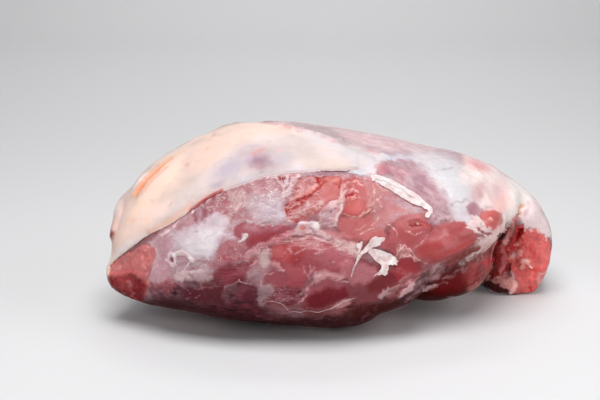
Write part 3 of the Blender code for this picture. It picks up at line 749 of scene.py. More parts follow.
veil(area(VIOLET_SHADE, 5) * 0.8, tone(155, 122, 134), 0.85)
VIOLET_FOOT = ((426, 198), (434, 194), (446, 202), (446, 214), (436, 222), (432, 212))
veil(area(VIOLET_FOOT, 5) * 0.6, tone(164, 133, 137), 0.85)
VIOLET_STRANDS = ((((416, 167), (424, 173), (432, 181), (440, 187)), 3),
    (((408, 164), (416, 170), (421, 176)), 1.6), (((425, 190), (432, 195), (438, 204)), 2),
    (((418, 181), (424, 186), (429, 193)), 1.4), (((429, 198), (435, 203), (436, 208)), 3),
    (((433, 225), (440, 219), (449, 216)), 2.2), (((436, 212), (443, 216)), 1.6),
    (((440, 192), (446, 199)), 2))
strands_along(VIOLET_STRANDS, tone(189, 157, 164), 0.95, 0.08, 2, strength=0.7)
veil(area(WHITE_PATCH, 13), tone(199, 189, 193), 1, 0.1, 0.3)
veil(area(PATCH_HEART, 14), tone(195, 192, 195), 1, 0, 0.3)
PATCH_CREASES = (((436, 171), (444, 169.5), (452, 169)), ((452, 205), (460, 202), (468, 200)),
    ((442, 190), (448, 194)))
strands_along(PATCH_CREASES, tone(152, 128, 132), 0.95, -0.3, 2, width=1.8, strength=0.5)
veil(area(RIGHT_FAT, 8), tone(228, 210, 207), 1, 0.1)
SHOULDER_GREY = (466, 176)
veil(spot(SHOULDER_GREY, 6, 9, 20, 0.8) * 0.8, tone(219, 204, 200), 1)
SHOULDER_PINK = (478, 165)
veil(spot(SHOULDER_PINK, 12, 5, 25, 0.8) * 0.8, tone(220, 133, 134), 1)
SIDE_SHADE = (479, 192)
veil(spot(SIDE_SHADE, 6, 11, 20, 0.7) * 0.8, tone(191, 151, 151), 1)
LOW_PINK = (500, 204)
veil(spot(LOW_PINK, 6, 11, 10, 0.7) * 0.8, tone(239, 183, 189), 1)
FAT_KNOB = (512, 210)
veil(spot(FAT_KNOB, 5, 10, 20, 0.7) * 0.8, tone(237, 222, 216), 1, raised=0.6)
FAT_TONGUE = ((507, 223), (514, 216), (519, 214), (517, 222), (510, 229), (503, 234), (501, 232))
veil(area(FAT_TONGUE, 2.5), tone(240, 224, 217), 0.95, 0.2)
END_SHADE = (498, 190)
veil(spot(END_SHADE, 9, 13, 20, 0.8) * 0.8, tone(204, 172, 172), 1)
END_PINK = (503, 203)
veil(spot(END_PINK, 7, 8, 20, 0.8) * 0.8, tone(239, 196, 188), 1)
veil(area(END_FAT, 8), tone(222, 213, 209), 1, 0.1)
veil(area(TAIL_SKIN, 5), tone(220, 199, 200), 1, 0.1)
TAIL_PINK = (525, 209)
veil(spot(TAIL_PINK, 4, 6, 20, 0.8) * 0.7, tone(172, 132, 134), 1)
# A dark stroke where the tail turns away is painted shade.
TAIL_PAINTED_SHADE = ((546, 208), (552, 222), (554, 236))
veil(stroke(TAIL_PAINTED_SHADE, 6, 6) * 0.7, tone(51, 30, 38), 1)
# The crease's darker brown inner strokes are painted shadow of the fold.
TAIL_CREASE = ((524, 206), (520.5, 210.5), (517, 218), (513, 226))
veil(stroke(TAIL_CREASE, 4.4, 3.4), tone(233, 216, 209), 1, raised=-1.1)
veil(stroke(TAIL_CREASE, 2.2, 2), tone(202, 143, 118), 1, raised=-0.5)
veil(stroke(TAIL_CREASE[1:], 1.8, 1.6), tone(176, 104, 92), 1, raised=-0.4)

# The upper muscles under the cap
# Orange-red flesh with a dark slit and pale painted glints, a white knot with a violet web, one
# muscle rolled up like a snail with painted glints in arcs around it, and a smooth pink stretch
# of thin skin.
VIOLET_STRIP = ((296, 172), (320, 171), (346, 171), (354, 169), (368, 173), (374, 178), (362, 178),
    (350, 176), (330, 176), (300, 177.5))
UPPER_RED = ((299, 178), (316, 176.5), (341, 177), (341, 188), (339, 197), (331, 202), (326, 207),
    (316, 213), (305, 219), (297, 223.5), (289, 219), (283.5, 209), (292, 193))
ROLLED = ((342, 180), (352, 178), (362, 181), (367, 190), (368.5, 202), (365, 211), (358, 216),
    (348, 217), (342, 212), (344, 200), (341, 190))
SMOOTH_PINK = ((366, 176), (376, 181), (388, 189), (404, 198), (418, 206), (414, 214), (404, 216),
    (392, 222), (380, 232), (372, 232), (374, 216), (371, 200), (367, 188))
bare(area(UPPER_RED, 2.5), tone(153, 13, 10), 0.3)
comb(area(UPPER_RED, 4), RISING)
RED_TOP = ((318, 177), (340, 177), (341, 188), (338, 197), (330, 200), (322, 194), (316, 186))
bare(area(RED_TOP, 7), tone(165, 48, 43), 0)
RED_SHINE = (332, 180)
bare(spot(RED_SHINE, 9, 4, 0, 0.6), tone(189, 102, 94), 0)
LEFT_WEB = ((299, 180), (310, 178), (316, 182), (308, 190), (296, 198), (290, 204), (288, 198))
veil(area(LEFT_WEB, 4) * 0.8, tone(188, 135, 137), 0.5, 1)
LOW_WEB = ((292, 210), (308, 203), (322, 200), (322, 208), (310, 217), (298, 222), (288, 217))
veil(area(LOW_WEB, 5) * 0.7, tone(163, 131, 134), 0.5, 1)
SLIT = ((283.3, 207.7), (290, 205), (296, 202), (302, 198.4), (307, 195.8), (311.5, 194.5))
SLIT_RIDGE = ((290, 203.4), (298.2, 198.2), (304, 194.6), (310, 191.8), (318, 188.6))
bare(stroke(moved(SLIT_RIDGE, 0, -0.8), 4, 2.4), tone(201, 121, 117), 0.1, 0.35)
veil(stroke(moved(SLIT_RIDGE, 0, -3.6), 1.4, 1.8) * 0.6, tone(136, 90, 76), 0.7)
bare(stroke(SLIT, 1.2, 1.2), tone(211, 162, 163), 0, -0.4)
bare(stroke(SLIT[2:], 1.6, 1.4), tone(163, 10, 23), 0, -0.7)
SLIT_END = ((318, 189), (323, 185.7), (329.7, 182.8))
bare(stroke(SLIT_END, 1.2, 1.2) * 0.6, tone(161, 51, 18), 0, -0.2)
SLIT_FOOT = ((286, 210.4), (296, 209), (304, 206))
bare(stroke(SLIT_FOOT, 1.4, 1.4) * 0.6, tone(155, 4, 3), 0, -0.2)
SLIT_PALE = ((290, 216.4), (300, 216), (309, 213))
bare(stroke(SLIT_PALE, 1.4, 1.4) * 0.5, tone(198, 178, 178), 0, -0.2)
# Thin pale streaks around the slit are painted glints.
RED_PAINTED_GLINTS = ((((286.4, 208.6), (292, 207), (300, 203.6)), 1.2),
    (((300.4, 184.4), (301.8, 188)), 1.6), (((289, 202), (295, 198.6), (301, 195.4)), 1),
    (((293, 195), (299, 192), (306, 188.6)), 1), (((303, 210.8), (309, 208.6), (316, 204.6)), 1.4),
    (((294, 214.6), (301, 213.8)), 1.2), (((304, 213.2), (311, 212)), 1.2),
    (((312, 196.4), (316, 193.6), (320, 192)), 1.1), (((318, 194), (321, 197)), 1),
    (((307, 202.4), (312, 201)), 1), (((286, 216), (291, 218.6)), 1.1),
    (((312, 214), (317, 210), (322, 207)), 1.1), (((296, 181), (292.6, 188), (290, 193)), 1),
    (((306, 181), (311, 179.6)), 1), (((299, 208), (304, 206)), 1), (((288, 221), (293, 222.6)), 1))
strands_along(RED_PAINTED_GLINTS, tone(194, 137, 131), 0.7, 0.08, 1.2)
veil(area(VIOLET_STRIP, 3), tone(155, 120, 130), 0.8, 0.2)
STRIP_END = ((345, 171), (354, 168.5), (366, 172), (370, 177), (358, 176), (348, 174))
veil(area(STRIP_END, 2.5), tone(194, 190, 194), 0.95)
ROLL_GROOVE = ((341.3, 181), (341.3, 184), (340.5, 188))
stain(stroke(ROLL_GROOVE, 1.4, 1.2), tone(140, 58, 62), raised=-0.7)
ROLL_EDGE = ((342.5, 182), (341, 189), (339.8, 195))
veil(stroke(ROLL_EDGE, 1.3, 1.2) * 0.7, tone(232, 184, 176), 0.8, raised=0.12)
bare(area(ROLLED, 7), tone(181, 92, 91), 0.2, 0.2)
ROLL_RIGHT = ((352, 180), (362, 182), (367, 190), (368, 202), (361, 200), (357, 190))
bare(area(ROLL_RIGHT, 4) * 0.8, tone(186, 107, 107), 0)
ROLL_FOOT = ((346, 206), (354, 205), (363, 200), (366, 206), (361, 213), (352, 216), (345, 213))
bare(area(ROLL_FOOT, 3), tone(194, 92, 91), 0)
ROLL_HEART = ((343, 184), (350, 183), (353, 187), (348, 193), (341, 194))
veil(area(ROLL_HEART, 2.5) * 0.8, tone(132, 15, 14), 0.7, 1)
HEART_STRANDS = (((343, 189), (347, 185), (351, 185.5), (354, 189)), ((344, 193), (348, 190), (352, 191)))
strands_along(HEART_STRANDS, tone(190, 112, 104), 0.85, 0.12, 1.2, width=1.2)
ROLL_SLOT = ((345.4, 197), (348, 195.5), (352, 193.4))
bare(stroke(ROLL_SLOT, 2.6, 2.2), tone(147, 4, 4), raised=-0.6)
ROLL_CURL = ((353, 193.5), (356, 198), (355, 203), (350, 205))
bare(stroke(ROLL_CURL, 1.8, 1.8) * 0.8, tone(183, 80, 72), raised=-0.6)
ROLL_DROP = (353.5, 197)
veil(spot(ROLL_DROP, 1.8, 2, 0) * 0.6, tone(232, 170, 160), 0.8, raised=0.3)
ROLL_OUTSIDE = ((367, 186), (369.5, 198), (367, 210), (359, 217.5), (349, 218.5))
bare(stroke(ROLL_OUTSIDE, 2.4, 2.6) * 0.6, tone(225, 143, 133), raised=-0.5)
VIOLET_WEB = ((318, 213), (326, 207), (335, 202), (342, 203), (341, 213), (337, 224), (331, 230),
    (323, 226), (318, 219))
veil(area(VIOLET_WEB, 5), tone(194, 152, 155), 0.75, 0.7)
WEB_HOLLOW = (326.4, 215.8)
veil(spot(WEB_HOLLOW, 5, 3.4, 10, 0.4), tone(187, 162, 164), 0.9, raised=-0.3)
WEB_SHADE = (326, 220.5)
veil(spot(WEB_SHADE, 4.5, 2.2, 0, 0.5), tone(169, 123, 134), 0.8)
WEB_STRAP = ((342, 203), (341, 210), (338.5, 216), (335, 225))
veil(stroke(WEB_STRAP, 3.4, 2.6), tone(218, 189, 191), 0.95, 0.5, 0.2)
WEB_CLEFT = ((335.2, 209), (333, 211), (331.6, 213))
stain(stroke(WEB_CLEFT, 2, 1.6), tone(120, 76, 94), raised=-0.6)
veil(stroke(WEB_CLEFT, 2, 1.6) * 0.9, tone(124, 84, 102), 0.9)
KNOT = (341.3, 201)
veil(spot(KNOT, 3.4, 3, -20, 0.4), tone(178, 134, 123), 0.98, raised=0.9)
KNOT_HOLE = (345, 202.3)
bare(spot(KNOT_HOLE, 1.4, 1.1, 0) * 0.9, tone(120, 44, 52), raised=-0.3)
KNOT_STRANDS = (((341, 198), (343, 194.5), (345, 192)), ((328, 224), (331, 221), (336, 222)),
    ((323, 216), (319, 221)))
strands_along(KNOT_STRANDS, tone(192, 153, 149), 0.9, 0.16, 1.4, width=1.6)
BELOW_ROLL = ((336, 226), (340, 219), (352, 219), (364, 218), (373, 212), (376, 224), (384, 228),
    (388, 238), (380, 244), (366, 240), (352, 238), (340, 232))
bare(area(BELOW_ROLL, 4), tone(193, 111, 112), 0.3)
BELOW_WEB = ((322, 229), (332, 230), (342, 232), (352, 236), (340, 238), (328, 235))
bare(area(BELOW_WEB, 4) * 0.8, tone(201, 132, 134), 0.2)
bare(area(SMOOTH_PINK, 5), tone(189, 114, 113), 0.15)
veil(area(SMOOTH_PINK, 5), tone(173, 127, 130), 0.4, 0.2)
SMOOTH_SHADE = ((386, 192), (398, 198), (404, 204), (396, 208), (386, 206), (382, 198))
veil(area(SMOOTH_SHADE, 6) * 0.7, tone(168, 121, 132), 0.6)
SMOOTH_WEB = ((396, 198), (408, 203), (420, 207), (426, 212), (420, 214), (408, 209), (398, 206))
veil(area(SMOOTH_WEB, 4) * 0.8, tone(165, 151, 159), 0.8, 0.8)
SMOOTH_STRANDS = (((392, 219), (400, 214.5), (408, 211)), ((410, 209), (413, 213)),
    ((418, 210), (424, 212)))
strands_along(SMOOTH_STRANDS, tone(175, 132, 137), 0.85, 0.12, 1.5, width=1.6)
# Pale arcs around the rolled muscle are painted glints.
PAINTED_GLINT_ARCS = ((((344, 187), (348, 182.6), (356, 182), (363, 187)), 1.2),
    (((343, 214), (350, 217.6), (358, 216)), 1.2), (((352, 189), (357, 192), (359.6, 198)), 1.2),
    (((369, 206), (377, 201), (381, 196)), 1.2), (((373, 186), (374, 198), (371, 208), (366, 214)), 1.4),
    (((360, 217.5), (364, 213), (368.5, 209.5)), 2), (((362, 214), (366, 210.5), (368, 208)), 1.4),
    (((369.5, 216.5), (373, 212), (374.5, 210)), 1.4), (((361, 234), (367, 231), (372.5, 228)), 1.8),
    (((371, 225), (376, 220.5), (379.5, 218)), 1.4), (((353, 231), (360, 229), (366, 225)), 1.2),
    (((376, 184), (382, 190), (387, 192)), 1.5), (((377, 200), (381, 208)), 1.6))
for arc, wide in PAINTED_GLINT_ARCS:
    veil(stroke(arc, wide * 0.8, 1.2) * 0.75, tone(239, 191, 176), 0.8, raised=0.05)
UNDER_TENDON = ((376, 184), (385, 188.6), (398, 196.6), (410, 204.4), (421, 208.6))
bare(stroke(UNDER_TENDON, 2, 1.8) * 0.5, tone(203, 187, 204))

# The right muscles
# A glossy tongue of muscle lies over the lower right, with a bulging muscle and web beside it
# and a small round muscle above it.
TONGUE = ((411.8, 251.3), (420.7, 243.5), (427, 236), (434, 226.5), (447.5, 222.3), (463, 222.5),
    (470, 226.8), (478, 237), (472, 244), (456.4, 253), (441, 259.5), (427.4, 262.3), (417.4, 258))
MID_RIGHT = ((388, 242), (389, 229), (396, 219), (406, 213.5), (418, 213), (427, 217), (431, 226),
    (428, 234), (421, 242), (410, 252), (400, 250), (392, 248))
OVAL = ((480, 213), (486, 210.5), (495, 210), (501.5, 213.5), (503, 221), (500, 228.5), (492, 231),
    (484.5, 228), (479.5, 220))
RIGHT_DARK = ((356, 256), (372, 262), (384, 270), (396, 262), (414, 260), (430, 264), (412, 276),
    (394, 290), (376, 302), (352, 304), (346, 292), (350, 272))
bare(area(RIGHT_DARK, 5), tone(132, 67, 72), 0.6)
RIGHT_PINK = ((352, 262), (362, 262), (374, 268), (378, 276), (366, 284), (352, 284), (346, 276))
bare(area(RIGHT_PINK, 6) * 0.8, tone(190, 121, 128), 0.5)
RIGHT_LOW = ((366, 286), (378, 276), (392, 272), (404, 276), (396, 286), (380, 292), (370, 294))
bare(area(RIGHT_LOW, 6) * 0.8, tone(111, 28, 35), 0.4)
RIGHT_DEEP = ((394, 266), (402, 258), (410, 256), (418, 262), (422, 268), (410, 274), (398, 280),
    (394, 274))
bare(area(RIGHT_DEEP, 4), tone(141, 49, 55), 0.1)
RIGHT_RED = ((384, 238), (396, 246), (398, 256), (388, 250), (378, 246))
bare(area(RIGHT_RED, 4) * 0.8, tone(197, 101, 106), 0.2)
bare(area(MID_RIGHT, 3), tone(177, 95, 98), 0.2, 0.4)
MID_RED = ((396, 228), (406, 222), (416, 226), (420, 236), (410, 246), (400, 240))
bare(area(MID_RED, 6) * 0.7, tone(171, 81, 82), 0.1)
MID_BORDER = ((394, 222), (402, 215), (413, 212), (424, 214.5), (430, 222))
veil(stroke(MID_BORDER, 1.5, 1.5) * 0.8, tone(156, 120, 122), 0.8, raised=0.12)
MID_SLOT = ((407, 222), (411, 219), (418, 218.5), (425, 221), (429, 226), (424, 226), (416, 227),
    (409, 226))
bare(area(MID_SLOT, 2) * 0.9, tone(138, 34, 33), 0.1, -0.3)
SLOT_SHADE = ((409, 226.5), (415, 227.5), (418, 224))
stain(stroke(SLOT_SHADE, 1.3, 1.3), tone(139, 57, 52), raised=-0.7)
SLOT_SHINE = (417.6, 224)
veil(spot(SLOT_SHINE, 1.3, 1.1) * 0.9, tone(240, 196, 184), 0.9, raised=0.3)
SLOT_FLAP = ((419, 221), (426, 223), (428, 228), (422, 228))
bare(area(SLOT_FLAP, 2) * 0.8, tone(187, 94, 91), 0, 0.3)
WEBBED_PINK = ((396, 248), (400, 243), (406, 244), (411, 252), (410, 258), (402, 258), (397, 256))
veil(area(WEBBED_PINK, 3), tone(197, 130, 128), 0.6, 1)
MID_STRANDS = ((((398, 254), (400, 249), (404, 244.5)), 2),
    (((404, 243), (408, 249), (411.8, 252)), 1.6),
    (((411.8, 251.3), (415, 257), (421, 261), (428, 263)), 1.6),
    (((412, 252), (420.7, 243.5), (429, 234)), 1.4), (((405, 256), (411, 257), (417, 262)), 1.3),
    (((397, 249), (395, 257), (398, 260)), 1.3), (((388, 225), (394, 230), (396, 238)), 1),
    (((404, 232), (414, 234), (424, 231)), 1))
strands_along(MID_STRANDS, tone(239, 186, 182), 0.85, 0.16, 1.3, strength=0.9)
bare(area(TONGUE, 3), tone(170, 93, 96), 0.3, 0.7)
TONGUE_TOP = ((448, 227), (462, 225), (472, 232), (470, 240), (456, 240), (446, 236))
bare(area(TONGUE_TOP, 7), tone(155, 72, 73), 0)
TONGUE_TIP = ((416, 252), (426, 242), (438, 240), (444, 248), (434, 256), (424, 259))
bare(area(TONGUE_TIP, 7) * 0.8, tone(158, 60, 59), 0.2)
TONGUE_BELLY = ((434, 257.6), (444, 253.6), (456, 248.4), (466, 243.4), (475, 239))
bare(stroke(TONGUE_BELLY, 4, 5) * 0.6, tone(181, 50, 44), raised=0.3)
TONGUE_SHADE = ((424, 265), (436, 263.5), (448, 259.6), (462, 253))
bare(stroke(TONGUE_SHADE, 1.6, 2) * 0.6, tone(230, 130, 135), 0.2, -0.4)
TONGUE_BORDER = ((428, 262.5), (441, 260), (456, 253.5), (470, 246))
veil(stroke(TONGUE_BORDER, 1.4, 1.3), tone(177, 54, 57), 0.8, raised=0.12)
TONGUE_FLECK = (442, 246)
stain(spot(TONGUE_FLECK, 2.4, 1.2, 30) * 0.6, tone(150, 60, 66))
OVAL_SKIN = ((466, 206), (472, 202), (480, 206), (484, 210), (480, 214), (481, 222), (474, 220), (468, 214))
veil(area(OVAL_SKIN, 3), tone(174, 129, 140), 0.9, 0.2)
OVAL_RIM = ((484, 209), (494, 208), (502, 213), (504, 222), (499, 230), (490, 232), (482, 228))
veil(area(OVAL_RIM, 2.5), tone(229, 187, 187), 0.9, 0.2)
bare(area(OVAL, 3.5, True), tone(190, 100, 97), 0.1, 0.4)
OVAL_HEART = (493, 219)
bare(spot(OVAL_HEART, 5, 5, 0, 0.6) * 0.6, tone(170, 92, 87))
OVAL_SHINE = ((486, 222.6), (490, 219), (492, 221.4))
veil(stroke(OVAL_SHINE, 1, 1.2) * 0.6, tone(226, 160, 150), 0.8)

# The heel
# The deep red muscle at the lower right, cut off at its right end inside a rim of fat, with
# ribbons of grey fascia across it and white fingers of it gripping the tongue's end.
HEEL = ((398, 300), (410, 288), (424, 274), (444, 262), (470, 250), (488, 246), (497, 256), (496, 264),
    (492, 276), (482, 288), (462, 297), (436, 302), (410, 306))
HEEL_CUT = ((470, 256), (484, 249), (493, 254), (496, 263), (492, 270), (480, 284), (470, 289), (466, 274))
bare(area(HEEL, 4), tone(61, 7, 3), 0.5)
comb(area(HEEL, 8), RISING)
# Under the tongue's overhang the deep red heel is painted darker still: painted shadow.
HEEL_PAINTED_SHADOW = ((440, 276), (458, 268), (472, 264), (474, 282), (458, 292), (436, 294), (430, 290))
bare(area(HEEL_PAINTED_SHADOW, 9), tone(100, 1, 7))
bare(area(HEEL_CUT, 16), tone(155, 63, 60), 0.5)
HEEL_RED = ((486, 258), (494, 259), (495, 266), (488, 270), (482, 264))
bare(area(HEEL_RED, 3), tone(182, 46, 53))
HEEL_DEEP = ((474, 270), (482, 264), (486, 272), (478, 282), (470, 286))
bare(area(HEEL_DEEP, 4) * 0.8, tone(121, 4, 4), 0.6)
HEEL_WEB = ((470, 252), (480, 250), (488, 252), (482, 260), (470, 266), (462, 270), (456, 266))
veil(area(HEEL_WEB, 4) * 0.8, tone(71, 9, 9), 0.6, 0.6)
HEEL_PALE = ((428, 268), (438, 263), (446, 262), (444, 272), (436, 280), (426, 282))
veil(area(HEEL_PALE, 3.5) * 0.9, tone(170, 123, 126), 0.85, 0.4)
# Near the table the heel's foot is painted dark: painted shade.
HEEL_FOOT_PAINTED_SHADE = ((410, 284), (420, 276), (428, 273), (426, 284), (414, 294), (402, 302), (398, 300))
veil(area(HEEL_FOOT_PAINTED_SHADE, 3.5) * 0.9, tone(49, 25, 29), 0.7, 0.3)
HEEL_TOP = ((446, 262), (458, 257), (468, 254), (462, 262), (450, 270), (440, 276))
veil(area(HEEL_TOP, 3) * 0.7, tone(138, 58, 62), 0.6, 0.5)
RIBBON = ((499.5, 230), (497, 235), (488, 241), (478, 247), (468, 252.5), (458, 257), (448, 262))
veil(stroke(RIBBON[:4], 9, 4), tone(213, 179, 174), 0.98, 0.2, 0.7)
veil(stroke(RIBBON[3:], 6, 4), tone(121, 53, 49), 0.9, 0.3, 0.5)
RIBBON_FOLD = ((488, 246), (478, 252), (468, 259), (460, 264))
veil(stroke(RIBBON_FOLD, 3.4, 3), tone(200, 172, 167), 0.85, 0.2, 0.4)
RIBBON_GAPS = (((412, 278), (420, 276), (430, 270), (440, 265)),
    ((404, 295), (412, 290), (420, 284), (428, 281)), ((446, 271), (456, 265), (466, 260)),
    ((396, 293), (404, 288), (411, 283)), ((440, 280), (450, 275), (458, 272)))
for gap in RIBBON_GAPS:
    bare(stroke(gap, 2.2, 2.4) * 0.7, tone(86, 40, 46), 0.3, -0.4)
MILKY_STRIPS = (((431, 277), (433, 268), (438, 262.6), (441, 264), (438, 272), (434, 279)),
    ((399, 297), (403, 289), (411, 282), (416, 281), (413, 288), (406, 295)), ((422, 290), (428, 285),
    (437, 283), (438, 286), (430, 290), (423, 292)), ((378, 297), (383, 290), (389, 287), (391, 290),
    (387, 296), (380, 299)))
for strip in MILKY_STRIPS:
    veil(area(strip, 1.6), tone(180, 142, 146), 0.95, 0, 0.3)
MILKY_LINE = ((384, 293), (394, 288), (402, 285), (411, 281))
veil(stroke(MILKY_LINE, 1.8, 1.4), tone(176, 130, 132), 0.9, raised=0.2)
HEEL_STREAKS = (((474, 266), (480, 260), (488, 256)), ((472, 274), (480, 268), (490, 264)),
    ((468, 282), (476, 277), (486, 271)), ((470, 258), (476, 255), (482, 253)))
strands_along(HEEL_STREAKS, tone(76, 43, 42), 0.7, 0.1, 1.8, width=1.4, strength=0.6)
HEEL_RIBBONS = ((((446, 264), (438, 270), (432, 277)), 3), (((430, 275), (422, 281), (414, 288)), 3),
    (((424, 286), (414, 294), (406, 301)), 3), (((440.8, 260.3), (432, 263.5), (421.8, 267)), 2.2),
    (((404, 284), (396, 289), (389, 290)), 2.4), (((400, 281), (406, 278), (410, 274)), 1.6),
    (((462, 268), (454, 274), (444, 279)), 2), (((470, 266), (462, 272)), 1.4),
    (((388, 296), (393, 292)), 2.6), (((430, 290), (438, 285), (448, 283)), 1.4))
strands_along(HEEL_RIBBONS, tone(129, 90, 92), 0.85, 0.16, 2, strength=0.85)
FINGERS = ((((497, 233), (488, 231), (480, 228), (471, 222.5)), 2.6),
    (((494, 237), (486, 236.5), (479, 233), (473, 228)), 2.4), (((488, 240), (482, 240), (476, 238)), 2.4),
    (((471, 215.5), (476, 219), (482, 224), (489, 229)), 3), (((473, 221), (478, 223), (480, 227)), 2),
    (((468, 227), (474, 230), (480, 234)), 2.2))
for finger, wide in FINGERS:
    veil(stroke(finger, wide, 1.8), tone(207, 184, 182), 0.98, 0, 0.6)
FINGER_GAPS = (((470, 219.5), (475, 222.5), (481, 227)), ((475, 231), (482, 234), (489, 235.5)),
    ((480, 237), (486, 239)))
strands_along(FINGER_GAPS, tone(236, 203, 202), 0.9, -0.4, 1.2, width=1, strength=0.6)
HEEL_RIM = ((494, 264), (491, 272), (486, 279), (478, 286), (470, 290))
veil(stroke(HEEL_RIM, 5, 3), tone(149, 95, 88), 0.95, 0.1, 0.6)
RIM_STAIN = ((484, 281), (478, 286))
veil(stroke(RIM_STAIN, 2, 2) * 0.7, tone(187, 191, 142), 0.9, raised=-0.3)

# The gap and the tail's cut face
# The tail is folded down over the right end. A gap, painted dark inside as painted shade, with a
# pink fold in it parts it from the body, and its front is torn red flesh with lumps of fat,
# inside a rim of fat skin.
GAP = ((498, 237), (501, 233), (506, 230), (512, 225), (516, 223), (514, 232), (509, 248), (508, 262),
    (510, 270), (504, 276), (492, 279), (490, 276), (494, 268), (497, 262), (495, 254), (492, 248))
CUT_FACE = ((514.5, 231), (518, 227), (522.3, 225.5), (525.6, 228.6), (532.3, 229.4), (539, 230),
    (545.7, 236.5), (549.5, 240), (551.5, 254), (549.5, 267), (544.6, 279), (538.5, 287), (534.6, 294),
    (529, 296.5), (521.2, 295), (518.5, 286), (513.3, 272), (508.3, 260), (508.9, 248))
bare(area(GAP, 2.5), tone(138, 29, 23), 0.2, -0.8)
GAP_TOP_PAINTED_SHADE = ((497, 234), (505, 232), (506, 238), (501, 241), (497, 240))
bare(area(GAP_TOP_PAINTED_SHADE, 2), tone(23, 0, 0), raised=-1)
GAP_DEPTH_PAINTED_SHADE = ((501, 242), (497, 250), (496.6, 262), (495, 272), (490, 278))
bare(stroke(GAP_DEPTH_PAINTED_SHADE, 3.2, 2.6), tone(87, 14, 9), raised=-1.1)
GAP_SIDE = ((509.4, 246), (508.6, 256), (509.4, 266), (506, 274))
bare(stroke(GAP_SIDE, 2, 2), tone(125, 9, 13), 0, -0.8)
GAP_FOLD = ((505, 244), (509, 235), (512, 228), (517, 219))
bare(stroke(GAP_FOLD, 5, 3.4), tone(228, 158, 153), 0.3, 0.3)
GAP_ROLL = ((502, 246), (503.6, 252), (504.4, 260), (503, 267), (500, 270.4))
bare(stroke(GAP_ROLL, 5, 2.6), tone(183, 94, 96), 0.2, 0.8)
GAP_CREASE = ((501, 248), (501.4, 258), (500, 267))
bare(stroke(GAP_CREASE, 2, 2) * 0.8, tone(116, 23, 26), 0)
GAP_THREAD = ((506.5, 256), (507, 262), (504, 268))
veil(stroke(GAP_THREAD, 1.4, 1.4) * 0.8, tone(220, 170, 168), 0.9, raised=0.08)
on_cut = area(CUT_FACE, 2)
bare(on_cut, tone(220, 107, 104), 0.1)
bare(on_cut * smoothstep(0.0, 0.6, lumps(8, 41)), tone(216, 89, 84))
bare(on_cut * smoothstep(0.25, 0.8, lumps(7, 42)), tone(216, 113, 106), raised=-0.5)
CUT_CORNER = ((514, 232), (519, 226), (523, 227), (521, 236), (519, 246), (514, 250), (509, 250))
bare(area(CUT_CORNER, 3), tone(205, 63, 70))
CUT_PIT = ((517, 229), (523, 228), (525, 233), (520, 239), (515.5, 239))
bare(area(CUT_PIT, 3), tone(121, 3, 3), raised=-0.7)
CUT_GROOVES = (((519, 240), (525, 246), (524, 256)), ((536, 236), (538, 248), (536, 262)),
    ((528, 244), (530, 254)), ((515, 262), (520, 272), (519, 284)), ((533, 272), (528, 282), (530, 290)),
    ((543, 242), (545, 258)))
for groove in CUT_GROOVES:
    bare(stroke(groove, 2, 2) * 0.7, tone(230, 122, 119), raised=-0.6)
lift += on_cut * (0.8 * lumps(7, 43) + 0.6 * lumps(3, 44))
FAT_LUMPS = ((513, 256, 3.8, 4.4, 0), (520, 252.5, 3, 3, 0), (525.6, 262, 4.4, 3.4, 20),
    (530.5, 267, 3, 1.8, 30), (522.3, 267, 2.2, 2.6, 0), (517, 244, 2, 2, 0))
for u, v, wide, high, side in FAT_LUMPS:
    veil(spot((u, v), wide * 1.1, high * 1.1, side, 0.5), tone(239, 154, 143), 1, 0, 1.2)
    bare(stroke(((u - wide, v + high), (u, v + high * 1.3), (u + wide, v + high)), 1.4, 1.4) * 0.7,
         tone(220, 91, 87), raised=-0.4)
LEFT_LUMP_SHINE = (512.5, 254.5)
veil(spot(LEFT_LUMP_SHINE, 2, 2, 0, 0.6) * 0.7, tone(239, 225, 219), 1)
MIDDLE_LUMP_SHINE = (526, 261)
veil(spot(MIDDLE_LUMP_SHINE, 2.2, 1.6, 20, 0.6) * 0.8, tone(239, 209, 197), 1)
RIGHT_LUMP_SHINE = (530, 266.5)
veil(spot(RIGHT_LUMP_SHINE, 2.4, 1.2, 30, 0.4), tone(246, 220, 210), 1, raised=0.2)
CUT_SLICK = ((539, 272), (545, 270), (546, 276), (542, 284), (537, 288), (536, 280))
veil(area(CUT_SLICK, 2.5), tone(214, 143, 138), 0.9, raised=0.4)
SLICK_SHADE = (542, 276)
veil(spot(SLICK_SHADE, 1.6, 3.2, 25), tone(186, 109, 104), 0.9)
CUT_RED_SPOT = (529, 289)
stain(spot(CUT_RED_SPOT, 2.4, 1.6) * 0.8, tone(190, 6, 7), raised=-0.6)
CUT_RAGS = (((524, 227), (525.5, 231)), ((531, 228), (531.5, 232)), ((538, 229), (539.5, 233)),
    ((545, 234), (546, 240)))
strands_along(CUT_RAGS, tone(229, 182, 179), 0.95, 0.12, 1.6, width=2)
BLOB = ((489.9, 279.5), (496, 278.5), (502, 276), (507, 271), (511, 272), (514, 281), (518.5, 284.5),
    (518, 295), (510, 295.5), (506, 289), (497, 286.5))
UNDER_TAIL_PAINTED_SHADOW = ((484, 279), (492, 281), (499, 284), (504, 287), (508, 291), (511, 295.5), (520, 297.5),
    (520, 302), (484, 302))
veil(area(BLOB, 3), tone(176, 115, 109), 0.95, 0.3, 0.6)
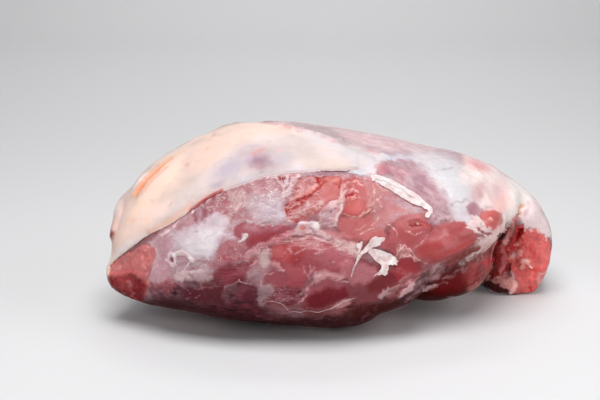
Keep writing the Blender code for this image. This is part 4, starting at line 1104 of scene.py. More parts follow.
# Under the tail's foot the flesh is painted dark: painted shadow.
bare(area(UNDER_TAIL_PAINTED_SHADOW, 2.4), tone(70, 25, 26), 0.2, -0.8)
BLOB_LUMPS = ((513, 287, 4, 5, tone(236, 180, 169)), (510, 292, 2.6, 2, tone(232, 192, 189)),
    (504, 282, 3, 2.4, tone(162, 113, 105)), (498, 281, 3, 1.6, tone(132, 74, 70)),
    (509, 276, 3, 3.4, tone(80, 25, 23)), (517, 292, 2, 3, tone(173, 69, 64)))
for u, v, wide, high, shade in BLOB_LUMPS:
    veil(spot((u, v), wide, high, 20, 0.5) * 0.85, shade, 1, raised=0.8)
BLOB_CLEFT = ((508, 281), (509.6, 286), (507, 289))
bare(stroke(BLOB_CLEFT, 1.4, 1.4) * 0.8, tone(239, 171, 169), 0, -0.5)
BLOB_CREASE = ((502, 277), (505, 279), (508, 278))
bare(stroke(BLOB_CREASE, 1.4, 1.4) * 0.7, tone(140, 56, 56), 0, -0.5)

# The tail's outer skin and the far end, which the view doesn't reach.
RIGHT_END = (142, 160)
right_end = smoothstep(*RIGHT_END, x) * hidden
veil(right_end, tone(232, 212, 212), 1, 0.2)
veil(right_end * smoothstep(0.1, 0.6, lumps(20, 51)), tone(216, 178, 184), 0.95)
veil(right_end * smoothstep(0.35, 0.7, lumps(15, 52)), tone(238, 190, 176), 0.95)

# The fat cap
# A layer of firm fat over the top and the left end. Its cut edge lies thin over the front
# muscles, and its right end thins out into white fascia. It is cream with peach and bluish
# blotches, nicks and one long orange groove.
CAP_EDGE = ((109, 276), (110, 266), (116, 259), (123.4, 253.8), (131, 247.5), (139, 242),
    (145.3, 236.8), (151.6, 233.2), (160, 229.6), (168, 225.8), (175, 221.6), (181.3, 217.5), (187, 213.6),
    (191, 210.8), (193, 208.6), (198, 205.6), (204, 201.4), (210, 197.4), (216, 194.2), (222, 191.4),
    (228, 190), (234, 188), (240, 186), (248, 182.8), (256, 180), (264, 178), (272, 176.2), (280, 174.6),
    (295, 173.2), (307, 172.5), (313, 172.8), (317.5, 171.3), (330, 171.2), (346, 171.2), (350, 169.6),
    (356, 169.4), (362, 170.6))
FRONT_CAP = CAP_EDGE + ((372, 170), (378, 163), (379, 154), (379, 60), (60, 60), (60, 282))
TOP_CAP_EDGE = ((31, -20), (20, -19), (8, -21), (-5, -29), (-18, -24), (-28, -19), (-38, -16),
    (-48, -11), (-56, 4), (-60, 24), (-68, 44), (-76, 68), (-88, 96), (-94, 130))
TOP_CAP = TOP_CAP_EDGE + ((-260, 130), (-260, -200), (31, -200))
BACK_CAP_EDGE = ((-200, 40), (-170, 46), (-150, 56), (-120, 58), (-96, 66), (-60, 62))
CAP_FADES = (354, 368)
TOP_FADES = (-14, 6)
CREAM = tone(209, 188, 179)
PEACH = tone(47, 27, 21)
COOL_FAT = tone(123, 116, 98)


def cap_depth():
    """Millimetres into the fat cap from its nearest edge, negative off it, and the edge's softness."""
    shake = 0.7 * lumps(9, 21) + 0.35 * lumps(3, 22)
    shaken_down = down + 0.5 * lumps(7, 23) + 0.3 * lumps(2.4, 26)
    front = depth_inside(FRONT_CAP, across + shake * 0.6, shaken_down) * PIXEL
    top = depth_inside(TOP_CAP, x + 4 * lumps(14, 24) + 2 * shake, y + 4 * lumps(10, 25) + 2 * lumps(4, 39))
    line = np.array(BACK_CAP_EDGE, float)
    back = z - np.interp(x, line[:, 0], line[:, 1]) - 8 * lumps(24, 26) - 4 * lumps(7, 27) - 2 * lumps(3, 38)
    side = np.where(slant > 0, front, back)
    soft = np.where(slant > 0, 0.25 + 5 * smoothstep(*CAP_FADES, across) * seen, 3)
    return np.minimum(side, top), np.where(top < side, 3.2 + 3 * smoothstep(*TOP_FADES, x), soft)


cap, edge_width = cap_depth()
on_cap = smoothstep(-1, 1, cap / np.maximum(edge_width, 0.4))
fat = np.tile(CREAM, (count, 1))


def tallow(mask, shade, raised=0):
    """Colours the fat cap where the mask is."""
    fat[:] += mask[:, None] * (shade - fat)
    lift[:] += raised * mask * on_cap


tallow(smoothstep(-0.1, 0.8, lumps(26, 28) + 0.4 * lumps(8, 29)) * 0.5, PEACH)
tallow(smoothstep(0.1, 0.7, lumps(20, 30)) * 0.4, COOL_FAT)
COOL_SIDE = ((150, 226), (168, 206), (200, 176), (232, 150), (262, 136), (292, 136), (330, 148),
    (376, 168), (300, 178), (262, 184), (226, 196), (192, 212))
WARM_LEFT = ((108, 272), (116, 240), (128, 212), (140, 190), (160, 168), (184, 156), (180, 176),
    (160, 200), (146, 224), (130, 248))
WARM_TOP = ((184, 150), (214, 132), (240, 124), (270, 124), (284, 132), (262, 138), (240, 146),
    (224, 160), (200, 176), (186, 172))
WHITE_END = ((300, 128), (330, 136), (352, 146), (378, 154), (378, 172), (362, 172), (346, 160),
    (330, 150), (308, 142))
tallow(area(WARM_LEFT, 16), tone(239, 206, 189))
tallow(area(WARM_TOP, 16), tone(219, 189, 176))
tallow(area(COOL_SIDE, 18), tone(211, 195, 193))
LEFT_SHEEN = ((120, 246), (132, 222), (150, 206), (172, 198), (168, 214), (146, 232), (128, 248))
tallow(area(LEFT_SHEEN, 10) * 0.8, tone(238, 209, 197))
LEFT_RIM = ((110, 262), (118, 248), (130, 240), (146, 234), (132, 246), (118, 258))
tallow(area(LEFT_RIM, 6) * 0.8, tone(239, 228, 225))
FRONT_WARM = ((146, 232), (168, 218), (190, 204), (192, 209), (170, 224), (150, 234))
tallow(area(FRONT_WARM, 4) * 0.7, tone(229, 180, 158))
tallow(area(WHITE_END, 12), tone(198, 188, 190))
END_WARM = ((306, 160), (330, 158), (348, 162), (350, 170), (318, 172), (302, 172))
tallow(area(END_WARM, 8) * 0.8, tone(206, 186, 177))
FRONT_COOL = ((238, 184), (262, 176), (300, 171), (316, 170), (300, 166), (262, 170), (240, 178))
tallow(area(FRONT_COOL, 5) * 0.6, tone(208, 204, 217))
BRUISE = (262, 160)
tallow(spot(BRUISE, 24, 14, 10, 0.7) * 0.8, tone(159, 138, 143))
LEFT_BRUISE = (230, 168)
tallow(spot(LEFT_BRUISE, 20, 9, -30, 0.7) * 0.7, tone(171, 160, 175))
BRUISE_HEART = (260, 163)
tallow(spot(BRUISE_HEART, 10, 7, 0, 0.6) * 0.8, tone(130, 96, 115), -0.4)
BRUISE_FOOT = (258, 167)
tallow(spot(BRUISE_FOOT, 4, 2, 10, 0.6) * 0.8, tone(168, 124, 142))
BRUISE_SIDE = (250, 158)
tallow(spot(BRUISE_SIDE, 3, 4, 0, 0.6) * 0.6, tone(180, 156, 180))
RIGHT_GREY = (284, 158)
tallow(spot(RIGHT_GREY, 10, 8, 0, 0.7) * 0.5, tone(169, 164, 173))
WIDE_GREY = (300, 150)
tallow(spot(WIDE_GREY, 26, 10, 15, 0.7) * 0.5, tone(169, 152, 147))
SCRATCHES = ((((252, 153.5), (255, 150.5), (261, 150), (267, 149)), tone(214, 130, 120)),
    (((254, 156), (258, 154), (262, 154.5)), tone(196, 120, 120)),
    (((280, 151), (284, 152)), tone(220, 160, 150)), (((236, 146), (242, 144)), tone(220, 170, 150)),
    (((128, 222), (138, 221), (147, 219.5)), tone(239, 192, 165)),
    (((206, 149), (210, 147.5)), tone(216, 160, 140)), (((186, 166), (190, 164.5)), tone(214, 158, 138)),
    (((278, 127.5), (284, 127), (290, 128.5)), tone(228, 160, 130)))
for scratch, shade in SCRATCHES:
    tallow(stroke(scratch, 1.5, 1.4) * 0.75, shade, -0.3)
GROOVE = ((134.6, 196), (138, 190.5), (142, 185.5), (147, 179), (152, 174), (158, 168.5), (164, 163.8),
    (172, 158.6), (180, 154), (186, 150.6))
not_grazing = smoothstep(0.1, 0.35, slant)
tallow(stroke(GROOVE, 1.4, 1.8, True) * not_grazing * 0.7, tone(224, 179, 125), -0.3)
tallow(stroke(GROOVE[:8], 3, 2.4, True) * not_grazing, tone(233, 164, 121), -0.8)
tallow(stroke(moved(GROOVE[1:6], 0.4, 0.4), 4.6, 2.6, True) * not_grazing,
       tone(230, 155, 120), -0.5)
tallow(stroke(moved(GROOVE[:7], 0.8, 0.7), 1.2, 1.8, True) * 0.5, tone(223, 114, 73), -0.8)
tallow(stroke(moved(GROOVE[1:7], 3.6, 3.4), 2.4, 2.6, True) * 0.6, tone(229, 159, 121), 0.4)
tallow(stroke(moved(GROOVE[1:9], -3.2, -2.6), 1.8, 1.8, True) * not_grazing * 0.7,
       tone(239, 234, 230), 0.3)
GROOVE_END = ((131, 199), (128, 205), (127, 211))
tallow(stroke(GROOVE_END, 2, 2) * 0.5, tone(226, 184, 166), -0.2)
SPECKS = ((176.5, 178.3, 1.2), (171, 204.5, 1.1), (154, 202, 2), (151, 200.5, 1.4), (209, 182.7, 1),
    (225, 179, 1), (230.5, 157.7, 1.2), (209, 141, 1.6), (215, 134, 2), (229, 142.5, 1.5), (269, 142, 1.7),
    (219.5, 162, 0.9), (182, 171, 0.9), (199, 163, 1), (222, 168, 0.9), (141, 214, 1.1), (166, 189, 0.8),
    (238, 132, 1.1), (193, 196, 0.8), (147, 192, 1), (252, 133, 1), (246, 168, 0.9))
for u, v, size in SPECKS:
    tallow(spot((u, v), size * 0.8, size * 0.5, 20, 0.8) * 0.45, tone(190, 124, 104), -0.1)
VIOLET_FLECK = (217, 184)
tallow(spot(VIOLET_FLECK, 8, 2.5, -25, 0.7) * 0.5, tone(168, 150, 176))
lift += on_cap * (0.5 * lumps(18, 35) + 0.22 * lumps(5, 36) + 0.1 * lumps(2.4, 37))

# The flap at the far left is a second fold of fat, parted from the cap by a shadowed groove,
# with a scrap of red flesh at its lower end.
LEFT_GROOVE = ((124, 201), (122.4, 208), (120.6, 216), (118, 224), (116.4, 232), (115, 240))
standing = smoothstep(-0.05, 0.15, slant)
by_groove = np.interp(down, [row[1] for row in LEFT_GROOVE], [row[0] for row in LEFT_GROOVE])
FLAP_START = (198, 212)
FLAP_END = (236, 243)
FLAP_SWELLS = (212, 232)
FLAP_PAINTED_LIGHT = (220, 208)
far_left = x < -140
at_flap = smoothstep(*FLAP_START, down) * (1 - smoothstep(*FLAP_END, down)) * far_left * (y < 40)
on_flap = at_flap * (1 - smoothstep(-1.5, 1, across - by_groove))
lift += on_flap * (2 + 2 * smoothstep(*FLAP_SWELLS, down))
tallow(on_flap, tone(217, 189, 174))
# The flap's upper part is painted paler: painted light.
tallow(on_flap * smoothstep(*FLAP_PAINTED_LIGHT, down) * 0.6, tone(239, 239, 239))
tallow(stroke(LEFT_GROOVE, 2.4, 2.4), tone(237, 197, 189), -0.8)
RED_SCRAP = ((100, 229), (110, 227), (114.5, 229), (116.5, 233), (114.8, 239), (110, 241.5), (100, 241))
scrap = smoothstep(-1.2, 1.2, depth_inside(RED_SCRAP, across, down)) * standing * far_left
tallow(scrap, tone(130, 8, 11), 0.2)

# The cut edge: thin at the lip, with a thin dark line of painted shadow under it, and at one
# place a red rim below it.
RED_RIM = ((191, 211), (193, 208.8), (198, 205.2), (204, 201), (210, 197), (216, 193.8), (222, 191))
tallow(stroke(moved(RED_RIM, -1.2, -2.8), 4, 4) * 0.5, tone(225, 171, 164))
tallow(stroke(RED_RIM, 4, 1.6, True), tone(169, 68, 68), -0.2)
veil(stroke(RED_RIM, 3, 1.4, True), tone(150, 50, 50), 0.95)
LIP_START = (222, 234)
LEFT_EDGE = ((132, 140), (190, 194))
RED_EDGE = ((190, 194), (220, 226))
RIGHT_EDGE = ((313, 318), (346, 351))
PLAIN_EDGE = ((130, 140), (356, 366))
FILLED_FROM = (130, 190)


def along(stretch):
    """1 along a stretch of the cap's edge, fading in and out at its two ends."""
    return smoothstep(*stretch[0], across) * (1 - smoothstep(*stretch[1], across))


thin_edge = edge_width < 1
lip = smoothstep(0.1, 0.6, cap) * (1 - smoothstep(1.2, 2.4, cap)) * thin_edge
tallow(lip * smoothstep(*LIP_START, across) * seen * 0.5, tone(172, 145, 148))
below = -cap * (slant > 0)
edge_left, edge_red, edge_right = [along(stretch) * seen for stretch in (LEFT_EDGE, RED_EDGE, RIGHT_EDGE)]
painted_shadow_under_edge = smoothstep(-0.15, 0.2, below) * (1 - smoothstep(0.7, 1.6, below)) * seen * thin_edge
veil(painted_shadow_under_edge * edge_left, tone(92, 52, 54), 0.9)
veil(painted_shadow_under_edge * edge_red, tone(86, 2, 3), 0.95)
veil(painted_shadow_under_edge * edge_right, tone(65, 1, 2), 0.95)
edge_plain = (1 - edge_left) * (1 - edge_right) * (1 - edge_red) * along(PLAIN_EDGE)
veil(painted_shadow_under_edge * edge_plain * 0.6, tone(150, 122, 129), 0.8)
filled = np.exp(-((cap / 11) ** 2)) * (cap <= 0) * smoothstep(*FILLED_FROM, across) * seen * (edge_width < 6)
lift += 2.2 * filled
lift += 0.8 * on_cap * thin_edge - 0.5 * painted_shadow_under_edge
lift *= 1 - 0.4 * on_cap

# The skin is pushed out by its relief.
place += facing * (lift * MM)[:, None]
place[:, 2] = np.maximum(place[:, 2], 0)
rump.data.vertices.foreach_set("co", place.astype(np.float32).ravel())
rump.data.update()
rump.data.shade_smooth()
meat_tree = skin_tree()

for name, colours, share in (("flesh_colour", flesh, fibres), ("skin_colour", skin, cover),
                             ("fat_colour", fat, webs)):
    layer = rump.data.attributes.new(name, "FLOAT_COLOR", "POINT")
    rows = np.concatenate([np.clip(colours, 0, 1), np.clip(share, 0, 1)[:, None]], 1)
    layer.data.foreach_set("color", rows.astype(np.float32).ravel())
for name, values in (("cap_depth", np.clip(cap, -20, 20)), ("edge_width", edge_width), ("grain_way", turn)):
    layer = rump.data.attributes.new(name, "FLOAT", "POINT")
    layer.data.foreach_set("value", values.astype(np.float32))


def set_inputs(tree, made, values):
    """Sets a node's inputs to values, or links them to sockets, by name or number."""
    for name, value in values.items():
        if isinstance(value, bpy.types.NodeSocket):
            tree.links.new(value, made.inputs[name])
        else:
            made.inputs[name].default_value = value


def node(tree, kind, values=None, **settings):
    """A shader node with its settings and its inputs."""
    made = tree.nodes.new(kind)
    for name, value in settings.items():
        setattr(made, name, value)
    set_inputs(tree, made, values or {})
    return made


def ramp(tree, value, low, high, to_low=0, to_high=1):
    """A value stretched so that low becomes to_low and high becomes to_high."""
    return node(tree, "ShaderNodeMapRange", {"Value": value, "From Min": low, "From Max": high,
                                             "To Min": to_low, "To Max": to_high}).outputs[0]


def maths(tree, kind, *values):
    """The result of a sum or product of two or three values."""
    return node(tree, "ShaderNodeMath", dict(enumerate(values)), operation=kind).outputs[0]


def times(tree, a, b):
    """The product of two values."""
    return maths(tree, "MULTIPLY", a, b)


def blend(tree, share, under, over, kind="MIX"):
    """One colour laid over another by a share."""
    under, over = [c if isinstance(c, bpy.types.NodeSocket) else (*c, 1) for c in (under, over)]
    mixed = node(tree, "ShaderNodeMix", {0: share, 6: under, 7: over}, data_type="RGBA", blend_type=kind)
    return mixed.outputs[2]


def tint(tree, share, under, over):
    """A colour multiplied by another, by a share."""
    return blend(tree, share, under, over, "MULTIPLY")


def between(tree, share, low, high):
    """A value between two others, by a share."""
    return node(tree, "ShaderNodeMix", {0: share, 2: low, 3: high}, data_type="FLOAT").outputs[0]


def stored(tree, name):
    """A colour and its share, or a value, kept on the skin under a name."""
    return node(tree, "ShaderNodeAttribute", attribute_name=name).outputs


def noise_at(tree, spot_on, scale, detail):
    """Smooth noise at a scale."""
    return node(tree, "ShaderNodeTexNoise", {"Vector": spot_on, "Scale": scale, "Detail": detail}).outputs


def grain_space(tree, scale, detail, shake, squeeze):
    """A group's inputs, and its places turned along the grain, shaken by noise and squeezed along it."""
    for name, kind in (("Vector", "Vector"), ("Turn", "Float"), ("Size", "Float")):
        tree.interface.new_socket(name, in_out="INPUT", socket_type="NodeSocket" + kind)
    tree.interface.new_socket("Share", in_out="OUTPUT", socket_type="NodeSocketFloat")
    given = node(tree, "NodeGroupInput").outputs
    turned = node(tree, "ShaderNodeVectorRotate", {"Vector": given["Vector"], "Angle": given["Turn"]},
                  rotation_type="Y_AXIS").outputs[0]
    wander = noise_at(tree, turned, scale, detail)["Color"]
    centred = node(tree, "ShaderNodeVectorMath", {0: wander, 1: (0.5, 0.5, 0.5)}, operation="SUBTRACT")
    shaken = node(tree, "ShaderNodeVectorMath", {0: centred.outputs[0], 1: (shake, shake, shake), 2: turned},
                  operation="MULTIPLY_ADD")
    drawn = node(tree, "ShaderNodeVectorMath", {0: shaken.outputs[0], 1: (squeeze, 1, 1)},
                 operation="MULTIPLY")
    return given, drawn.outputs[0]


def strands_group():
    """Fine strands: noise drawn out along one direction, with its own wander."""
    tree = bpy.data.node_groups.new("strands", "ShaderNodeTree")
    given, drawn = grain_space(tree, 60, 1, 0.008, 0.12)
    noisy = node(tree, "ShaderNodeTexNoise", {"Vector": drawn, "Scale": given["Size"], "Detail": 3,
                                              "Roughness": 0.55})
    node(tree, "NodeGroupOutput", {"Share": noisy.outputs["Fac"]})
    return tree


def web_group():
    """Fine white webs: the seams of drawn-out cells, broken up so that they come and go."""
    tree = bpy.data.node_groups.new("webs", "ShaderNodeTree")
    given, drawn = grain_space(tree, 110, 2, 0.012, 0.45)
    cells = node(tree, "ShaderNodeTexVoronoi", {"Vector": drawn, "Scale": given["Size"]},
                 feature="DISTANCE_TO_EDGE")
    seams = ramp(tree, cells.outputs["Distance"], 0.06, 0)
    kept = ramp(tree, noise_at(tree, given["Vector"], 210, 2)["Fac"], 0.46, 0.64)
    node(tree, "NodeGroupOutput", {"Share": times(tree, seams, kept)})
    return tree


strands = strands_group()
web_lines = web_group()


def laid_at(tree, group, spot_on, way, size):
    """Strands or webs of a size, turned by an angle."""
    given = {"Vector": spot_on, "Turn": way, "Size": size}
    return node(tree, "ShaderNodeGroup", given, node_tree=group).outputs[0]


GRAIN_ANGLES = (-0.55, 0.06, 0.55)


def combed_strands(tree, spot_on, way, size):
    """Strands that fall, lie level or rise to the right, as the grain's way says."""
    falling, level, rising = [laid_at(tree, strands, spot_on, angle, size) for angle in GRAIN_ANGLES]
    below = between(tree, ramp(tree, way, 0, FALLING), level, falling)
    return between(tree, ramp(tree, way, 0, RISING), below, rising)


# The finish of wet flesh: sizes of its patterns per metre, and the tints that they give.
FINE_STRANDS = 900
COARSE_STRANDS = 330
DARK_STRAND = (0.45, 0.22, 0.25)
LIGHT_STRAND = (1.6, 1.5, 1.5)
DARK_MOTTLE = (0.6, 0.36, 0.4)
DARK_CLOUD = (0.7, 0.5, 0.54)
SKIN_LIGHT = (1.14, 1.2, 1.2)
SKIN_STREAK = (0.76, 0.56, 0.62)
SKIN_CLOUD = (0.74, 0.54, 0.6)
WEB_WHITE = (0.9, 0.76, 0.77)
FAT_CLOUD = (0.86, 0.62, 0.48)
FAT_MOTTLE = (0.66, 0.56, 0.64)
FAT_GRAIN = (0.8, 0.52, 0.42)


def flesh_material():
    """Wet raw flesh: fibres, then broken thin skin with white webs, then the fat cap."""
    made = bpy.data.materials.new("wet_flesh")
    made.use_nodes = True
    tree = made.node_tree
    spot_on = node(tree, "ShaderNodeTexCoord").outputs["Object"]
    lean, film, tallowy = [stored(tree, name) for name in ("flesh_colour", "skin_colour", "fat_colour")]
    depth, width, way = [stored(tree, name)["Fac"] for name in ("cap_depth", "edge_width", "grain_way")]
    fibrous, share, webbed = lean["Alpha"], film["Alpha"], tallowy["Alpha"]

    fine = combed_strands(tree, spot_on, way, FINE_STRANDS)
    coarse = combed_strands(tree, spot_on, way, COARSE_STRANDS)
    wide_web = laid_at(tree, web_lines, spot_on, 0.35, 190)
    fine_web = laid_at(tree, web_lines, spot_on, -0.3, 460)
    mottle = noise_at(tree, spot_on, 150, 4)["Fac"]
    grain = noise_at(tree, spot_on, 700, 3)["Fac"]
    clouds = noise_at(tree, spot_on, 45, 3)["Fac"]

    dark_strands = times(tree, ramp(tree, fine, 0.5, 0.68), fibrous)
    light_strands = times(tree, ramp(tree, fine, 0.46, 0.3), fibrous)
    shade = tint(tree, times(tree, dark_strands, 0.4), lean["Color"], DARK_STRAND)
    shade = tint(tree, times(tree, light_strands, 0.5), shade, LIGHT_STRAND)
    shade = tint(tree, ramp(tree, mottle, 0.6, 0.36, 0, 0.2), shade, DARK_MOTTLE)
    shade = tint(tree, ramp(tree, clouds, 0.6, 0.36, 0, 0.3), shade, DARK_CLOUD)

    # Half-hiding skin is broken up most, and full or missing skin not at all.
    swing = times(tree, times(tree, share, maths(tree, "SUBTRACT", 1, share)), 4)
    texture = maths(tree, "ADD", maths(tree, "MULTIPLY_ADD", coarse, 1.2, fine), mottle)
    texture = maths(tree, "SUBTRACT", texture, 1.6)
    hiding = ramp(tree, maths(tree, "MULTIPLY_ADD", texture, swing, share), 0.02, 0.98)
    patchy = ramp(tree, webbed, 0, 0.25, 0.3, 1)
    lit_skin = times(tree, ramp(tree, mottle, 0.45, 0.66), patchy)
    streaky_skin = times(tree, ramp(tree, coarse, 0.46, 0.3, 0, 0.25), patchy)
    cloudy_skin = times(tree, ramp(tree, clouds, 0.6, 0.36, 0, 0.2), patchy)
    skin_shade = tint(tree, lit_skin, film["Color"], SKIN_LIGHT)
    skin_shade = tint(tree, streaky_skin, skin_shade, SKIN_STREAK)
    skin_shade = tint(tree, cloudy_skin, skin_shade, SKIN_CLOUD)
    shade = blend(tree, hiding, shade, skin_shade)
    finest = times(tree, times(tree, fine_web, webbed), webbed)
    web_share = maths(tree, "MULTIPLY_ADD", wide_web, times(tree, webbed, 0.7), finest)
    shade = blend(tree, maths(tree, "MINIMUM", times(tree, web_share, 0.62), 0.8), shade, WEB_WHITE)

    edge = maths(tree, "MULTIPLY_ADD", grain, 0.9, maths(tree, "SUBTRACT", depth, 0.45))
    fatty = ramp(tree, edge, times(tree, width, -1), width)
    fat_shade = blend(tree, ramp(tree, clouds, 0.45, 0.7, 0, 0.14), tallowy["Color"], FAT_CLOUD)
    fat_shade = blend(tree, ramp(tree, mottle, 0.56, 0.36, 0, 0.14), fat_shade, FAT_MOTTLE)
    fat_shade = tint(tree, ramp(tree, grain, 0.64, 0.78, 0, 0.5), fat_shade, FAT_GRAIN)

    normal = node(tree, "ShaderNodeNewGeometry").outputs["Normal"]
    up = node(tree, "ShaderNodeSeparateXYZ", {0: normal}).outputs["Z"]
    coat = times(tree, ramp(tree, clouds, 0.38, 0.62, 0.1, 0.5), ramp(tree, fatty, 0, 1, 1, 0.12))
    wrinkles = times(tree, coarse, times(tree, hiding, 1.2))
    height = maths(tree, "ADD", times(tree, fine, fibrous), wrinkles)
    height = maths(tree, "ADD", height, times(tree, mottle, 1.6))
    height = maths(tree, "MULTIPLY_ADD", web_share, 0.7, height)
    height = times(tree, height, ramp(tree, fatty, 0, 1, 1, 0.3))
    height = maths(tree, "MULTIPLY_ADD", hiding, 0.15, height)
    bump = node(tree, "ShaderNodeBump", {"Height": height, "Strength": 0.5, "Distance": 0.0006}).outputs[0]
    set_inputs(tree, tree.nodes["Principled BSDF"], {
        "Base Color": blend(tree, fatty, shade, fat_shade),
        "Roughness": between(tree, fatty, ramp(tree, mottle, 0.35, 0.65, 0.4, 0.24), 0.5),
        "Coat Weight": times(tree, coat, ramp(tree, up, -0.1, 0.4)),
        "Coat Roughness": 0.1,
        "Subsurface Weight": 0.12,
        "Subsurface Radius": (1, 0.4, 0.3),
        "Subsurface Scale": 0.003,
        "IOR": 1.4,
        "Specular IOR Level": ramp(tree, up, -0.6, 0.1, 0.05, 0.25),
        "Normal": bump,
        "Coat Normal": bump,
    })
    return made


rump.data.materials.append(flesh_material())
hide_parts("beef_rump")
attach(rump, "root")

# The tendon, the shreds and the threads
# White tendon and torn fascia that stand off the flesh: thin closed bands laid on the skin along
# their lines, and thin closed sheets cut to an outline, hanging a little way off the skin.
BAND_SIDES = 12
SHEET_STEP = 1.3


def eye_ray(u, v):
    """The direction in which a view pixel looks."""
    right = Vector((1, 0, 0))
    ray = sight + right * ((u - VIEW_WIDTH / 2) / focal) + view_up * ((VIEW_HEIGHT / 2 - v) / focal)
    return ray.normalized()


def on_meat(u, v):
    """The place and the outward direction of the skin at a view pixel."""
    point, normal, _, _ = meat_tree.ray_cast(eye, eye_ray(u, v))
    return point, normal


def drawn_out(rows, step):
    """Rows of values joined by a smooth curve through them, read at even steps."""
    rows = np.array(rows, float)
    lengths = np.linalg.norm(np.diff(rows[:, :2], axis=0), axis=1)
    known = np.concatenate([[0], np.cumsum(lengths)])
    wanted = np.linspace(0, known[-1], max(4, int(known[-1] / step) + 1))
    slopes = np.gradient(rows, known, axis=0)
    index = np.clip(np.searchsorted(known, wanted) - 1, 0, len(known) - 2)
    span = (known[index + 1] - known[index])[:, None]
    t = ((wanted - known[index]) / span[:, 0])[:, None]
    return (rows[index] * (2 * t**3 - 3 * t**2 + 1) + slopes[index] * span * (t**3 - 2 * t**2 + t)
            + rows[index + 1] * (3 * t**2 - 2 * t**3) + slopes[index + 1] * span * (t**3 - t**2))


def band(work, rows, seed=0, step=1.0, fray=0.2, curl=-0.4):
    """Adds a closed band: rows of view pixel across and down, then width, thickness, lift in mm."""
    path = drawn_out(rows, step)
    hits = [on_meat(u, v) for u, v in path[:, :2]]
    kept = [i for i, (point, _) in enumerate(hits) if point is not None]
    path = path[kept]
    points = np.array([hits[i][0] for i in kept])
    normals = np.array([hits[i][1] for i in kept])
    for _ in range(3):
        normals[1:-1] = (normals[:-2] + normals[1:-1] * 2 + normals[2:]) / 4
        points[1:-1] = (points[:-2] + points[1:-1] * 2 + points[2:]) / 4
    tangent = np.gradient(points, axis=0)
    side = np.cross(normals, tangent)
    side /= np.linalg.norm(side, axis=1)[:, None]
    off = work.verts.layers.float["stands_off"]
    rings = []
    for k in range(len(path)):
        width, thick, lifted = np.maximum(path[k, 2:5], (0.15, 0.12, -1)) * MM
        reach = [1 + fray * (1.5 * noise.noise(Vector((k * 0.22, seed, way * 9)))
                             + 0.8 * noise.noise(Vector((k * 0.9, seed + 5, way * 9)))) for way in (0, 1)]
        ring = []
        for s in range(BAND_SIDES):
            angle = 2 * math.pi * s / BAND_SIDES
            share = math.cos(angle)
            out = side[k] * (width / 2 * share * reach[share > 0])
            tucked = curl * MM * share * share * min(1, width / (3 * MM))
            up = normals[k] * (thick / 2 * math.sin(angle) + lifted + tucked)
            corner = work.verts.new(points[k] + out + up)
            corner[off] = 0.6 + 0.4 * math.sin(angle)
            ring.append(corner)
        rings.append(ring)
    for here, there in zip(rings, rings[1:]):
        for s in range(BAND_SIDES):
            t = (s + 1) % BAND_SIDES
            work.faces.new((here[s], here[t], there[t], there[s]))
    work.faces.new(reversed(rings[0]))
    work.faces.new(rings[-1])


def sheet(work, outline, heights, thick=0.7, seed=0):
    """Adds a closed sheet inside an outline in view pixels, with heights off the skin in mm."""
    edge = []
    for start, end in zip(outline, outline[1:] + outline[:1]):
        pieces = max(1, round(math.dist(start, end) / SHEET_STEP))
        edge += [np.array(start) + (np.array(end) - np.array(start)) * k / pieces for k in range(pieces)]
    edge = np.array(edge)
    shake = [(noise.noise(Vector((k * 0.45, seed, 3))), noise.noise(Vector((k * 0.45, seed, 8))))
             for k in range(len(edge))]
    edge = edge + 0.35 * np.array(shake)
    low, high = edge.min(0), edge.max(0)
    grid = np.array([(u, v) for u in np.arange(low[0], high[0], SHEET_STEP)
                     for v in np.arange(low[1], high[1], SHEET_STEP)])
    ring = [tuple(row) for row in edge]
    inner = grid[depth_inside(ring, grid[:, 0], grid[:, 1]) > 0.6 * SHEET_STEP]
    spots = [Vector(row) for row in edge] + [Vector(row) for row in inner]
    loop = [(k, (k + 1) % len(edge)) for k in range(len(edge))]
    corners, _, faces, _, _, _ = delaunay_2d_cdt(spots, loop, [], 1, 1e-5)
    flat = np.array([tuple(corner) for corner in corners])
    rays = [eye_ray(u, v) for u, v in flat]
    reached = [meat_tree.ray_cast(eye, ray)[3] for ray in rays]
    known = np.array([value is not None for value in reached])
    depth = np.array([value if value is not None else 0 for value in reached])
    u, v = ((flat - flat.mean(0)) / 20).T
    terms = np.stack([np.ones(len(u)), u, v, u * u, u * v, v * v], 1)
    even = terms @ np.linalg.lstsq(terms[known], depth[known], rcond=None)[0]
    depth = np.where(known, np.minimum(depth, even + 1.5 * MM), even)
    marks = np.array(heights, float)
    nearness = 1 / (np.hypot(flat[:, :1] - marks[:, 0], flat[:, 1:] - marks[:, 1]) ** 2 + 1)
    height = (nearness * marks[:, 2]).sum(1) / nearness.sum(1)
    folds = [noise.noise(Vector((a * 0.22, b * 0.22, seed + 0.5))) for a, b in flat]
    height = height * (1 + 0.35 * np.array(folds)) + 0.25 * np.array(folds)
    inward = np.maximum(depth_inside(ring, flat[:, 0], flat[:, 1]), 0)
    body = thick * (0.35 + 0.65 * smoothstep(0, 2.2, inward))
    off = work.verts.layers.float["stands_off"]
    fronts, backs = [], []
    for k, ray in enumerate(rays):
        near_side = depth[k] - height[k] * MM
        for side, way in ((fronts, 0), (backs, body[k] * MM)):
            corner = work.verts.new(eye + ray * (near_side + way))
            corner[off] = min(1, max(0, 0.25 + 0.35 * height[k] + 0.5 * folds[k]))
            side.append(corner)
    uses = {}
    for face in faces:
        work.faces.new([fronts[i] for i in face])
        work.faces.new([backs[i] for i in reversed(face)])
        for a, b in zip(face, face[1:] + face[:1]):
            uses[(a, b)] = True
    for a, b in uses:
        if (b, a) not in uses:
            work.faces.new((fronts[b], fronts[a], backs[a], backs[b]))


def new_work():
    """An empty mesh for bands and sheets, which keeps how far each corner stands off the flesh."""
    work = bmesh.new()
    work.verts.layers.float.new("stands_off")
    return work


